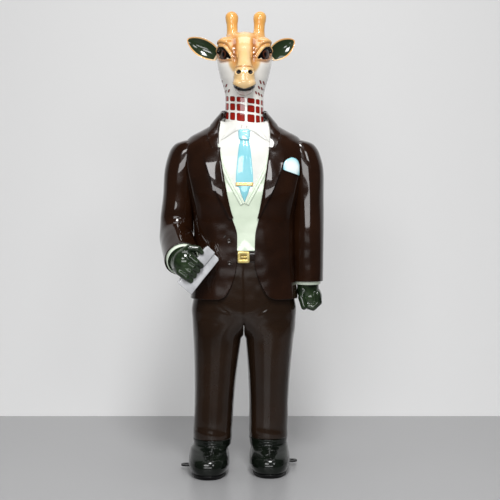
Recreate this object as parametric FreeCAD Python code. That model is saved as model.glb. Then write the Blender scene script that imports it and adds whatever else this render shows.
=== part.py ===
# A life-size display figure of a giraffe standing in a suit: glossy moulded glass-fibre shells, each garment
# its own casting, bonded edge to edge over a welded steel armature that ends in two bolt-down lugs at the shoes.
# Millimetres. +Z is up, the figure faces -Y, and "right" is the figure's own right, which is -X.
# The origin is on the floor, at the centre of the whole figure's box.
import FreeCAD, Part

import math
import os

V = FreeCAD.Vector
X_AXIS, Y_AXIS, Z_AXIS = V(1, 0, 0), V(0, 1, 0), V(0, 0, 1)

# ------------------------------------------------------------------ driving sizes
skin = 5.0                # wall of every moulded shell
jacket_step = 6.0         # how far the jacket stands proud of the shirt and waistcoat under it
pad_step = 5.0            # how far a lapel or the pocket square stands proud of the jacket
fit_gap = 0.3             # clearance of a spigot, bolt or tube in its hole

# The figure is stacked from these lengths, floor upwards.
sole_thickness = 16.0
shoe_height = 119.0       # top of the sole to the trouser hem
inseam = 455.0            # trouser hem to crotch
rise = 259.0              # crotch to the middle of the belt
torso_length = 561.0      # middle of the belt to the base of the neck
neck_length = 70.0        # base of the neck to the jaw
head_height = 240.0       # jaw to the poll
ossicone_length = 108.0   # length of a horn, of which ossicone_sink is below the poll
ossicone_sink = 28.0
jacket_skirt = 164.0      # middle of the belt down to the jacket's hem
waistband = 34.0          # how far the trousers reach above the middle of the belt

# Body
skirt_half_width, skirt_half_depth = 211.0, 130.0
belt_half_width, belt_half_depth = 197.0, 121.0
waist_half_width, waist_half_depth = 196.0, 119.0
chest_half_width, chest_half_depth = 217.0, 128.0
shoulder_half_width, shoulder_half_depth = 238.0, 112.0
collar_half_width, collar_half_depth = 82.0, 84.0
body_offset = -2.0        # the trunk's middle, sideways
hip_half_width, hip_half_depth = 204.0, 118.0
waistband_inset = 13.0    # how far the waistband lies inside the jacket's outside

# Legs
right_leg_x, left_leg_x = -126.0, 94.0        # middle of each leg at the hem
right_foot_forward = 26.0                     # the right foot stands this far ahead of the left
hem_half_width, hem_half_depth = 76.0, 80.0
thigh_half_width, thigh_half_depth = 100.0, 108.0

# Arms
arm_radius = 62.0         # straight sleeve, across
sleeve_end_radius = 59.0
cuff_radius, cuff_wall = 49.0, 4.0
cuff_show, cuff_tuck = 13.0, 16.0             # how far a cuff shows, and how far it goes up the sleeve
bent_end_radius, bent_cuff_radius = 70.0, 62.0
left_sleeve_end = 99.0    # the left sleeve ends this far below the middle of the belt
wrist_forward = 152.0     # the bent arm's wrist is this far in front of the trunk's middle

# Neck and head
neck_half_width, neck_half_depth = 76.0, 79.0
skull_half_width, skull_half_depth = 110.0, 110.0
muzzle_radius, muzzle_reach = 42.0, 196.0
eye_radius = 35.0
ear_length, ear_half_width, ear_thickness = 126.0, 39.0, 30.0
ossicone_radius, ossicone_neck_radius = 25.5, 20.0
spigot_radius, spigot_length = 8.0, 26.0

# Shoes
shoe_half_width, shoe_half_length = 77.0, 137.0
shoe_set_forward = 28.0   # the shoe's middle is this far ahead of the leg's
throat_width, tongue_thickness = 40.0, 3.0

# Small pieces
belt_width, belt_thickness = 44.0, 3.0
buckle_width, buckle_thickness, buckle_rim = 46.0, 6.0, 7.0
tie_thickness = 5.0
button_radius, button_thickness = 8.5, 4.0
paper_length, paper_width, paper_leaf, paper_leaves = 196.0, 84.0, 9.0, 4

# Steel
post_radius, tube_wall = 16.85, 2.6
spine_radius = 21.2
cross_bar_side, cross_bar_wall = 40.0, 3.0
arm_rod_radius = 8.0
plate_thickness, plate_half_width, plate_half_length = 6.0, 42.0, 95.0
lug_half_width, lug_hole_radius, lug_reach = 20.0, 7.0, 36.0
lug_right_y, lug_left_y = -4.0, 66.0
screw_radius, screw_head_radius, screw_head = 4.0, 8.0, 4.5
bulkhead_thickness = 12.0

# ------------------------------------------------------------------ levels, worked out from the stack
sole_top = sole_thickness
hem_level = sole_top + shoe_height
crotch = hem_level + inseam
belt = crotch + rise
neck_base = belt + torso_length
jaw = neck_base + neck_length
poll = jaw + head_height
skirt = belt - jacket_skirt
TALL = 4 * poll


def up_torso(share):
    """The level that is this share of the torso's length above the middle of the belt."""
    return belt + share * torso_length


def up_head(share):
    """The level that is this share of the head's height above the jaw."""
    return jaw + share * head_height


# ------------------------------------------------------------------ shape tools
def ring(centre, across, along, half_across, half_along, square=2.0, points=20):
    """A closed superellipse wire: square 2 is an ellipse, and higher is boxier."""
    spots = []
    for i in range(points):
        turn = 2 * math.pi * i / points
        c, s = math.cos(turn), math.sin(turn)
        reach = (abs(c) ** square + abs(s) ** square) ** (-1 / square)
        spots.append(centre + across * (half_across * reach * c) + along * (half_along * reach * s))
    curve = Part.BSplineCurve()
    curve.interpolate(Points=spots, PeriodicFlag=True, Parameters=[i / points for i in range(points + 1)])
    return Part.Wire([curve.toShape()])


def even_sections(rows, step):
    """The same run of sections respaced about a step apart along the surface, so the loft cannot bulge.

    Each column runs through the given rows as a cubic that never passes beyond two neighbouring values."""
    reach = [0.0]
    for a, b in zip(rows, rows[1:]):
        reach.append(reach[-1] + max(1.0, math.dist(a, b)))
    columns = []
    for values in zip(*rows):
        steps = [(b - a) / (u - t) for a, b, t, u in zip(values, values[1:], reach, reach[1:])]
        slopes = [0.0 if a * b <= 0 else 2 * a * b / (a + b) for a, b in zip(steps, steps[1:])]
        columns.append((values, [steps[0]] + slopes + [steps[-1]]))
    count = max(3, round(reach[-1] / step))
    evened = []
    for i in range(count + 1):
        t = reach[-1] * i / count
        k = max(j for j in range(len(rows) - 1) if reach[j] <= t + 1e-9)
        h = reach[k + 1] - reach[k]
        u = (t - reach[k]) / h
        evened.append([(1 + 2 * u) * (1 - u) ** 2 * v[k] + u * (1 - u) ** 2 * h * m[k]
                       + u * u * (3 - 2 * u) * v[k + 1] + u * u * (u - 1) * h * m[k + 1] for v, m in columns])
    return evened


def level_loft(stations, inset=0.0, step=36.0):
    """A solid through level sections (z, x, y, half width, half depth, square), each taken in by inset."""
    wires = [ring(V(x, y, z), X_AXIS, Y_AXIS, w - inset, d - inset, n)
             for z, x, y, w, d, n in even_sections(stations, step)]
    return Part.makeLoft(wires, True).Solids[0]


def hollow(stations, wall, step=36.0):
    """An open-ended shell through level sections: its inside form runs just past both ends."""
    first, *between, last = stations
    past = 1.0 if last[0] > first[0] else -1.0
    inside = [(first[0] - past, *first[1:]), *between, (last[0] + past, *last[1:])]
    return level_loft(stations, 0.0, step).cut(level_loft(inside, wall, step))


def path_loft(stations, inset=0.0, step=36.0):
    """A solid through sections (centre, direction, half across, half along) that lie square to a path."""
    rows = [(*centre, *(V(direction).normalize() * 60), w, d) for centre, direction, w, d in stations]
    wires = []
    for x, y, z, i, j, k, w, d in even_sections(rows, step):
        centre, axis = V(x, y, z), V(i, j, k).normalize()
        across = (X_AXIS - axis * X_AXIS.dot(axis)).normalize()
        wires.append(ring(centre, across, axis.cross(across), w - inset, d - inset))
    return Part.makeLoft(wires, True).Solids[0]


def block(low, high):
    return Part.makeBox(high.x - low.x, high.y - low.y, high.z - low.z, low)


def everything(x=None, y=None, z=None):
    """A box that holds the whole figure, cut down to the ranges given."""
    (x0, x1), (y0, y1), (z0, z1) = (r or (-TALL, TALL) for r in (x, y, z))
    return block(V(x0, y0, z0), V(x1, y1, z1))


def front_prism(outline, back=0.0):
    """A straight-sided outline of (x, z) points, run forward from y = back."""
    wire = Part.makePolygon([V(x, back, z) for x, z in outline + outline[:1]])
    return Part.Face(wire).extrude(V(0, -TALL, 0))


def rod(start, end, radius):
    return Part.makeCylinder(radius, (end - start).Length, start, end - start)


def tube(start, end, radius, wall):
    return rod(start, end, radius).cut(rod(start, end, radius - wall))


def capsule(start, end, radius):
    return Part.makeSphere(radius, start).multiFuse([rod(start, end, radius), Part.makeSphere(radius, end)])


def egg(centre, half_x, half_y, half_z):
    """An ellipsoid."""
    stretch = FreeCAD.Matrix()
    stretch.scale(half_x, half_y, half_z)
    shape = Part.makeSphere(1.0).transformGeometry(stretch)
    shape.translate(centre)
    return shape


nodes = {}


def keep(name, shape):
    """Files a finished piece under its node's name, as clean solids."""
    solids = [s for s in shape.Solids if s.Volume > 20]
    if not solids:
        raise ValueError(f"{name} has no solid")
    nodes[name] = solids[0] if len(solids) == 1 else Part.makeCompound(solids)
    return nodes[name]


# ------------------------------------------------------------------ trunk: the jacket's body and what it covers
torso_stations = [
    (skirt, body_offset, 0, skirt_half_width, skirt_half_depth, 2.4),
    (belt, body_offset, -2, belt_half_width, belt_half_depth, 2.4),
    (up_torso(0.22), body_offset, -3, waist_half_width, waist_half_depth, 2.5),
    (up_torso(0.45), body_offset, -4, chest_half_width, chest_half_depth, 2.6),
    (up_torso(0.63), body_offset, 0, shoulder_half_width, 0.96 * chest_half_depth, 2.6),
    (up_torso(0.76), body_offset, 5, shoulder_half_width, shoulder_half_depth, 2.5),
    (up_torso(0.825), body_offset, 8, 0.89 * shoulder_half_width, 0.88 * shoulder_half_depth, 2.3),
    (up_torso(0.87), body_offset, 9, 0.7 * shoulder_half_width, 0.8 * shoulder_half_depth, 2.1),
    (up_torso(0.92), body_offset, 9, 1.47 * collar_half_width, collar_half_depth + 3, 2.0),
    (neck_base, body_offset, 9, collar_half_width + 4, collar_half_depth + 3, 2.0),
]
torso_outside = level_loft(torso_stations)
under_jacket = level_loft(torso_stations, jacket_step)
inside_shirt = level_loft(torso_stations, jacket_step + skin)

# How far the jacket is open: share of the torso's length, edge on the right, edge on the left.
opening = [(-0.32, -76, 96), (-0.17, -45, 60), (-0.04, -29, 38), (0.14, -27, 41), (0.32, -58, 64),
           (0.6, -86, 88), (0.67, -92, 93), (0.8, -98, 101), (0.92, -96, 98), (1.02, -66, 64)]
opening_outline = [(x, up_torso(s)) for s, x, _ in opening] + [(x, up_torso(s)) for s, _, x in opening[::-1]]

side_seam = 17.0          # the front and back castings meet on this plane
neck_back = 9.0           # the neck's middle, behind the feet's
neck_foot = neck_base - 75
neck_room = level_loft([(neck_foot - 5, 0, neck_back, neck_half_width + 6.5, neck_half_depth + 4.5, 2.0),
                        (neck_base, 0, neck_back, neck_half_width + 0.5, neck_half_depth + 0.5, 2.0),
                        (neck_base + 20, 0, neck_back, neck_half_width + 0.5, neck_half_depth + 0.5, 2.0)])
jacket_tube = torso_outside.cut(under_jacket).cut(neck_room)
keep("jacket_back", jacket_tube.common(everything(y=(side_seam, TALL))))
jacket_front = jacket_tube.common(everything(y=(-TALL, side_seam))).cut(front_prism(opening_outline, side_seam))
for panel in sorted(jacket_front.Solids, key=lambda s: -s.Volume)[:2]:
    keep("jacket_front_right" if panel.CenterOfMass.x < body_offset else "jacket_front_left", panel)

# The shirt and waistcoat are one skin under the jacket's opening, parted along the waistcoat's V neck.
vest_bottom, vest_point, vest_top = 0.042, 0.378, 0.78
front_layer = under_jacket.cut(inside_shirt).common(
    block(V(-150, -TALL, up_torso(vest_bottom)), V(150, side_seam - 40, neck_base))).cut(neck_room)
vest_neck = front_prism([(2, up_torso(vest_point)), (135, up_torso(vest_top + 0.12)), (160, neck_base + 9),
                         (-160, neck_base + 9), (-133, up_torso(vest_top + 0.12))], side_seam)
keep("waistcoat", front_layer.cut(vest_neck))

# ------------------------------------------------------------------ neck, head and what grows from it
head_stations = [
    (neck_foot, 0, neck_back, neck_half_width + 6, neck_half_depth + 4, 2.0),
    (neck_base, 0, neck_back, neck_half_width, neck_half_depth, 2.0),
    (up_head(-0.08), 0, neck_back - 6, neck_half_width, neck_half_depth + 3, 2.0),
    (up_head(0.14), 0, neck_back - 14, 0.8 * skull_half_width, 0.84 * skull_half_depth, 2.0),
    (up_head(0.36), 0, neck_back - 22, 0.93 * skull_half_width, 0.97 * skull_half_depth, 2.0),
    (up_head(0.6), 0, neck_back - 25, skull_half_width, skull_half_depth, 2.1),
    (up_head(0.8), 0, neck_back - 20, 0.86 * skull_half_width, 0.9 * skull_half_depth, 2.2),
    (up_head(0.93), 0, neck_back - 14, 0.58 * skull_half_width, 0.66 * skull_half_depth, 2.1),
    (poll, 0, neck_back - 12, 0.26 * skull_half_width, 0.34 * skull_half_depth, 2.0),
]
nose_line = V(0, -0.80, -0.60)
nose_root = V(0, neck_back - 50, up_head(0.62))
nose_run = muzzle_reach - 50
muzzle_stations = [(nose_root + nose_line * (nose_run * s), V(nose_line), muzzle_radius * k,
                    muzzle_radius * k * 1.05) for s, k in ((0, 0.95), (0.45, 0.93), (0.75, 0.98), (0.92, 0.9), (1.0, 0.6))]


def head_form(inset):
    """The neck, skull and muzzle as one solid, taken in by inset."""
    crown = [(z - (inset if z == poll else 0), x, y, w, d, n) for z, x, y, w, d, n in head_stations]
    snout = muzzle_stations[:-1] + [(muzzle_stations[-1][0] - nose_line * inset, *muzzle_stations[-1][1:])]
    return level_loft(crown, inset).fuse(path_loft(snout, inset))


head_outside = head_form(0.0)
head_shell = head_outside.cut(head_form(skin))
nostril = muzzle_stations[2][0] + V(0, -30, 22)
for side in (-1, 1):
    head_shell = head_shell.cut(rod(nostril + V(side * 22, -30, 14), nostril + V(side * 20, 24, -12), 5.5))

eyes = {"eye_right": V(-78, -58, up_head(0.62)), "eye_left": V(88, -46, up_head(0.6))}
for name, centre in eyes.items():
    ball = Part.makeSphere(eye_radius, centre)
    head_shell = head_shell.cut(ball)
    keep(name, ball.cut(everything(y=(centre.y + 6, TALL))))

ossicones = {"ossicone_right": (-47, -3), "ossicone_left": (54, 7)}
for name, (x, lean) in ossicones.items():
    foot = V(x, neck_back - 2, poll - ossicone_sink - 30)
    top = V(x + lean, neck_back + 2, poll + ossicone_length - ossicone_sink - ossicone_radius)
    line = (top - foot).normalize()
    reach = (top - foot).Length
    flare = Part.makeCone(ossicone_neck_radius + 9, ossicone_neck_radius, 0.6 * reach, foot, line)
    stem = Part.makeCone(ossicone_neck_radius, 0.94 * ossicone_radius, 0.4 * reach, foot + line * (0.6 * reach), line)
    horn = flare.multiFuse([stem, Part.makeSphere(ossicone_radius, top)]).cut(head_outside)
    peg = rod(foot - line * 6, foot + line * 50, spigot_radius)
    head_shell = head_shell.cut(rod(foot - line * 30, foot + line * 50, spigot_radius + fit_gap))
    keep(name, horn.fuse(peg.common(head_outside)))

ears = {"ear_right": (-1, 30.0, 14.0), "ear_left": (1, 27.0, 38.0)}   # side, lift and sweep back in degrees
for name, (side, lift, sweep) in ears.items():
    leaf = egg(V(ear_length / 2, 0, 0), ear_length / 2, ear_thickness / 2, ear_half_width)
    dish = egg(V(ear_length / 2 + 4, -ear_thickness * 0.62, 0), ear_length / 2 - 9, ear_thickness * 0.72,
               ear_half_width - 8)
    ear = leaf.cut(dish).fuse(rod(V(-spigot_length, 2, 0), V(16, 2, 0), spigot_radius))
    turn = FreeCAD.Placement(V(side * (skull_half_width - 12), neck_back - 14, up_head(0.64)), FreeCAD.Rotation())
    if side < 0:
        ear = ear.mirror(V(0, 0, 0), X_AXIS)
    ear.rotate(V(0, 0, 0), Y_AXIS, -side * lift)
    ear.rotate(V(0, 0, 0), Z_AXIS, side * sweep)
    ear.Placement = turn.multiply(ear.Placement)
    hole = rod(turn.Base - V(side * 30, 0, 0), turn.Base + V(side * 20, 0, 0), 2 * spigot_radius)
    shell_hole = head_shell.common(hole)
    head_shell = head_shell.cut(hole)
    head_shell = head_shell.fuse(shell_hole.cut(ear)) if shell_hole.Solids else head_shell
    keep(name, ear.cut(head_shell))
keep("head_shell", head_shell)

# ------------------------------------------------------------------ collars, shirt and tie
shirt_collar_stations = [
    (neck_foot + 8, 0, neck_back, neck_half_width + 30, neck_half_depth + 12, 2.0),
    (neck_base - 46, 0, neck_back, neck_half_width + 22, neck_half_depth + 9, 2.0),
    (neck_base - 18, 0, neck_back, neck_half_width + 8, neck_half_depth + 5, 2.0),
    (neck_base, 0, neck_back, neck_half_width + 5, neck_half_depth + 5, 2.0),
]
collar_form = level_loft(shirt_collar_stations)
collar_dip = Part.makeBox(400, 400, 90, V(-200, -400, 0))
collar_dip.rotate(V(0, 0, 0), X_AXIS, 24)
collar_dip.translate(V(0, neck_back, neck_base))
jacket_all = jacket_tube.cut(front_prism(opening_outline, side_seam))
keep("shirt_collar", collar_form.cut(head_outside).cut(jacket_all).cut(collar_dip))
keep("shirt_front", front_layer.common(vest_neck).cut(collar_form))

jacket_collar_form = level_loft([(z + (14 if z == neck_base else 0), x, y, w + 6, d + 6, n)
                                 for z, x, y, w, d, n in shirt_collar_stations])
keep("jacket_collar", jacket_collar_form.cut(collar_form).cut(head_outside).cut(torso_outside)
     .common(everything(y=(-28, TALL))))

# Layers that lie on the shirt: the tie, and the clip across it.
on_shirt = level_loft(torso_stations, jacket_step - tie_thickness)
on_tie = level_loft(torso_stations, jacket_step - tie_thickness - 2.5)
tie_layer = on_shirt.cut(under_jacket)
tie_tip, clip_low, clip_high, knot_low, knot_high = 0.385, 0.481, 0.512, 0.797, 0.866
keep("tie_blade", tie_layer.common(front_prism(
    [(2, up_torso(tie_tip)), (24, up_torso(clip_low)), (33, up_torso(clip_high)), (22, up_torso(knot_low)),
     (-22, up_torso(knot_low)), (-34, up_torso(clip_high)), (-20, up_torso(clip_low))])))
keep("tie_knot", on_tie.cut(under_jacket).cut(collar_form).common(front_prism(
    [(20, up_torso(knot_low)), (24, up_torso(0.82)), (21, up_torso(knot_high)), (-21, up_torso(knot_high)),
     (-24, up_torso(0.82)), (-20, up_torso(knot_low))])))
keep("tie_clip", on_tie.cut(on_shirt).common(front_prism(
    [(34, up_torso(clip_low)), (34, up_torso(clip_high)), (-34, up_torso(clip_high)), (-34, up_torso(clip_low))])))

# ------------------------------------------------------------------ what lies on the jacket
on_jacket = level_loft(torso_stations, -pad_step)
pad_layer = on_jacket.cut(torso_outside)
lapel_break, lapel_notch = 0.27, 0.75
lapel_left = [(63, up_torso(lapel_break)), (100, up_torso(0.42)), (140, up_torso(0.6)), (146, up_torso(0.69)),
              (128, up_torso(lapel_notch)), (132, up_torso(0.82)), (112, up_torso(0.93)), (88, up_torso(1.01)),
              (80, up_torso(1.01)), (90, up_torso(0.6))]
lapel_right = [(-x, z) for x, z in lapel_left]
keep("lapel_left", pad_layer.common(front_prism(lapel_left)).cut(front_prism(opening_outline))
     .cut(jacket_collar_form))
keep("lapel_right", pad_layer.common(front_prism(lapel_right)).cut(front_prism(opening_outline))
     .cut(jacket_collar_form))
keep("pocket_square", pad_layer.common(front_prism(
    [(147, up_torso(0.595)), (158, up_torso(0.645)), (176, up_torso(0.678)), (196, up_torso(0.665)),
     (206, up_torso(0.63)), (206, up_torso(0.558))])))

buttons = []
for x, share in ((-58, 0.11), (-56, -0.04)):
    sight = Part.makeLine(V(x, -TALL, up_torso(share)), V(x, 0, up_torso(share)))
    face = torso_outside.common(sight).BoundBox.YMin
    buttons.append(rod(V(x, face - button_thickness, up_torso(share)), V(x, 0, up_torso(share)), button_radius)
                   .cut(torso_outside))
keep("jacket_buttons", Part.makeCompound(buttons))

# ------------------------------------------------------------------ trousers, belt and buckle
hip_stations = [
    (crotch, body_offset, 4, hip_half_width, 0.97 * hip_half_depth, 2.5),
    (crotch + 45, body_offset, 4, hip_half_width + 2, hip_half_depth, 2.5),
    (skirt + 8, body_offset, 2, skirt_half_width - waistband_inset, skirt_half_depth - waistband_inset, 2.4),
    (belt, body_offset, -2, belt_half_width - waistband_inset, belt_half_depth - waistband_inset, 2.4),
    (belt + waistband, body_offset, -2, belt_half_width - waistband_inset - 1,
     belt_half_depth - waistband_inset - 1, 2.4),
]
legs = {"right": (right_leg_x, -right_foot_forward, -1), "left": (left_leg_x, 0.0, 1)}


def leg_stations(hem_x, hem_y, side):
    """A trouser leg from its hem to just above the crotch, leaning from foot to hip."""
    hip_x = body_offset + side * (thigh_half_width + 1.5)
    stations = []
    for share, swell in ((0.0, 0.0), (0.28, 0.06), (0.55, 0.3), (0.82, 0.72), (1.0, 1.0)):
        stations.append((hem_level + share * inseam, hem_x + (hip_x - hem_x) * share,
                         hem_y * (1 - share) + 4 * share,
                         hem_half_width + (thigh_half_width - hem_half_width) * swell,
                         hem_half_depth + (thigh_half_depth - hem_half_depth) * swell, 2.15))
    top = stations[-1]
    return stations + [(top[0] + 12, top[1], top[2], top[3] - 1, top[4] - 1, top[5])]


hip_outside, hip_inside = level_loft(hip_stations), level_loft(hip_stations, skin)
for name, (hem_x, hem_y, side) in legs.items():
    half = everything(x=(-TALL, body_offset) if side < 0 else (body_offset, TALL))
    leg = leg_stations(hem_x, hem_y, side)
    outside = level_loft(leg).fuse(hip_outside).common(half)
    inside = level_loft(leg, skin).common(half).fuse(hip_inside)
    keep(f"trousers_{name}", outside.cut(inside))

belt_form = level_loft(hip_stations, -belt_thickness)
belt_band = everything(z=(belt - belt_width / 2, belt + belt_width / 2))
keep("belt", belt_form.cut(hip_outside).common(belt_band).cut(jacket_all))
buckle_face = belt_form.common(belt_band).BoundBox.YMin - buckle_thickness
buckle_low = V(-26, buckle_face, belt - buckle_width / 2)
buckle = block(buckle_low, buckle_low + V(buckle_width, 30, buckle_width))
window = block(buckle_low + V(buckle_rim, -5, buckle_rim),
               buckle_low + V(buckle_width - buckle_rim, 40, buckle_width - buckle_rim))
prong = rod(buckle_low + V(2, 2.5, buckle_width / 2), buckle_low + V(buckle_width - 2, 2.5, buckle_width / 2), 2.2)
keep("belt_buckle", buckle.cut(window).fuse(prong).cut(belt_form).cut(jacket_all).common(everything(y=(-TALL, 0))))

# ------------------------------------------------------------------ sleeves, cuffs, hands
shoulder_top = up_torso(0.81)
left_arm_x = shoulder_half_width + 11         # the hanging arm's line, from the figure's middle
left_sleeve = [
    (shoulder_top, shoulder_half_width - 46, 8, 0.56 * arm_radius, 46, 2.0),
    (up_torso(0.782), shoulder_half_width - 29, 7, 0.9 * arm_radius, 60, 2.0),
    (up_torso(0.715), shoulder_half_width - 12, 5, arm_radius + 5, 68, 2.0),
    (up_torso(0.6), shoulder_half_width + 3, 3, arm_radius + 6, 71, 2.0),
    (up_torso(0.4), shoulder_half_width + 9, 2, arm_radius + 1, 69, 2.0),
    (up_torso(0.15), left_arm_x, -2, arm_radius, 66, 2.0),
    (belt - left_sleeve_end, left_arm_x, -8, sleeve_end_radius, sleeve_end_radius + 2, 2.0),
]
left_tube = hollow(left_sleeve, skin)
keep("sleeve_left", left_tube.cut(torso_outside))

wrist_line = V(0.30, -0.86, -0.42).normalize()
wrist = V(2 - shoulder_half_width, -wrist_forward, belt - 4)
elbow = V(-shoulder_half_width - 30, 6, up_torso(0.165))
right_sleeve = [
    (V(44 - shoulder_half_width, 8, shoulder_top), V(0, 0, -1), 0.56 * arm_radius, 46),
    (V(27 - shoulder_half_width, 7, up_torso(0.782)), V(0, 0, -1), 0.9 * arm_radius, 60),
    (V(10 - shoulder_half_width, 5, up_torso(0.715)), V(0, 0, -1), arm_radius + 5, 68),
    (V(-shoulder_half_width - 6, 6, up_torso(0.6)), V(0, 0.05, -1), arm_radius + 6, 71),
    (V(-shoulder_half_width - 18, 14, up_torso(0.4)), V(-0.05, 0.06, -1), arm_radius + 3, 72),
    (V(-shoulder_half_width - 28, 16, up_torso(0.25)), V(0, -0.25, -1), arm_radius + 5, 74),
    (elbow + V(2, -16, -12), V(0.12, -0.75, -0.75), arm_radius + 7, 76),
    (elbow * 0.5 + wrist * 0.5 + V(-4, 0, -2), V(0.22, -0.9, -0.42), arm_radius + 6, 72),
    (wrist, V(wrist_line), bent_end_radius, bent_end_radius),
]
right_tube = path_loft(right_sleeve).cut(path_loft(right_sleeve, skin))
keep("sleeve_right", right_tube.cut(torso_outside).cut(on_jacket.common(everything(y=(-TALL, -60)))))


left_wrist = V(left_arm_x, -8, belt - left_sleeve_end)
down = V(0, 0, -1)
keep("cuff_left", tube(left_wrist - down * cuff_tuck, left_wrist + down * cuff_show, cuff_radius, cuff_wall)
     .cut(torso_outside))
keep("cuff_right", tube(wrist - wrist_line * cuff_tuck, wrist + wrist_line * cuff_show, bent_cuff_radius, cuff_wall)
     .cut(right_tube))


def fist(palm, fingers, thumb, plug):
    """A closed hand: an egg-shaped palm, fingers and thumb as runs of capsules, and a plug for the cuff."""
    runs = [capsule(a, b, r) for run, r in fingers + [thumb] for a, b in zip(run, run[1:])]
    return palm.multiFuse(runs + [plug])


finger_radius, finger_pitch = 12.5, 22.0
hand_top = left_wrist + down * cuff_show
left_fingers = []
for i in range(4):
    y = hand_top.y - 34 + finger_pitch * i
    left_fingers.append(([V(left_arm_x + 42, y, hand_top.z - 52), V(left_arm_x + 35, y, hand_top.z - 84),
                          V(left_arm_x + 6, y, hand_top.z - 90)],
                         finger_radius))
left_thumb = ([hand_top + V(-13, -34, -24), hand_top + V(-19, -38, -58), hand_top + V(-6, -40, -80)], 12.0)
left_palm = egg(hand_top + V(10, 0, -44), 45, 42, 50)
keep("hand_left", fist(left_palm, left_fingers, left_thumb,
                       rod(left_wrist - down * cuff_tuck, hand_top + down * 30, cuff_radius - cuff_wall)))

# The right hand holds the folded newspaper against the jacket, so it is built round the paper's place.
paper_turn = 46.0         # the paper's long side, above level
paper_middle = wrist + V(60, -34, -38)
grip = wrist + wrist_line * (cuff_show + 42)
right_palm = egg(grip + V(-4, 6, -6), 50, 46, 60)
right_fingers = []
for i in range(4):
    start = grip + V(-6 + 7 * i - 14, -34, 28 - 25 * i)
    right_fingers.append(([start, start + V(34, -16, -6), start + V(52, -2, -10)], finger_radius))
right_thumb = ([grip + V(8, 0, 44), grip + V(38, -12, 48), grip + V(58, -10, 40)], 13.0)
right_plug = rod(wrist - wrist_line * cuff_tuck, grip, bent_cuff_radius - cuff_wall)
right_hand = fist(right_palm, right_fingers, right_thumb, right_plug)

leaves = []
for i in range(paper_leaves):
    length = paper_length - 9 * abs(i - 1)
    leaf = Part.makeBox(length, paper_leaf, paper_width, V(-paper_length / 2, i * paper_leaf, -paper_width / 2))
    leaves.append(leaf)
paper = leaves[0].multiFuse(leaves[1:]).removeSplitter()
paper.translate(V(0, -paper_leaf * paper_leaves / 2, 0))
paper.rotate(V(0, 0, 0), Y_AXIS, -paper_turn)
paper.rotate(V(0, 0, 0), Z_AXIS, 22)
paper.translate(paper_middle)
keep("newspaper", paper.cut(on_jacket).cut(right_tube).cut(nodes["cuff_right"]))
keep("hand_right", right_hand.cut(nodes["newspaper"]).cut(on_jacket).cut(nodes["cuff_right"]).cut(right_tube))
keep("hand_left", nodes["hand_left"].cut(nodes["cuff_left"]).cut(left_tube).cut(torso_outside))

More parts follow.
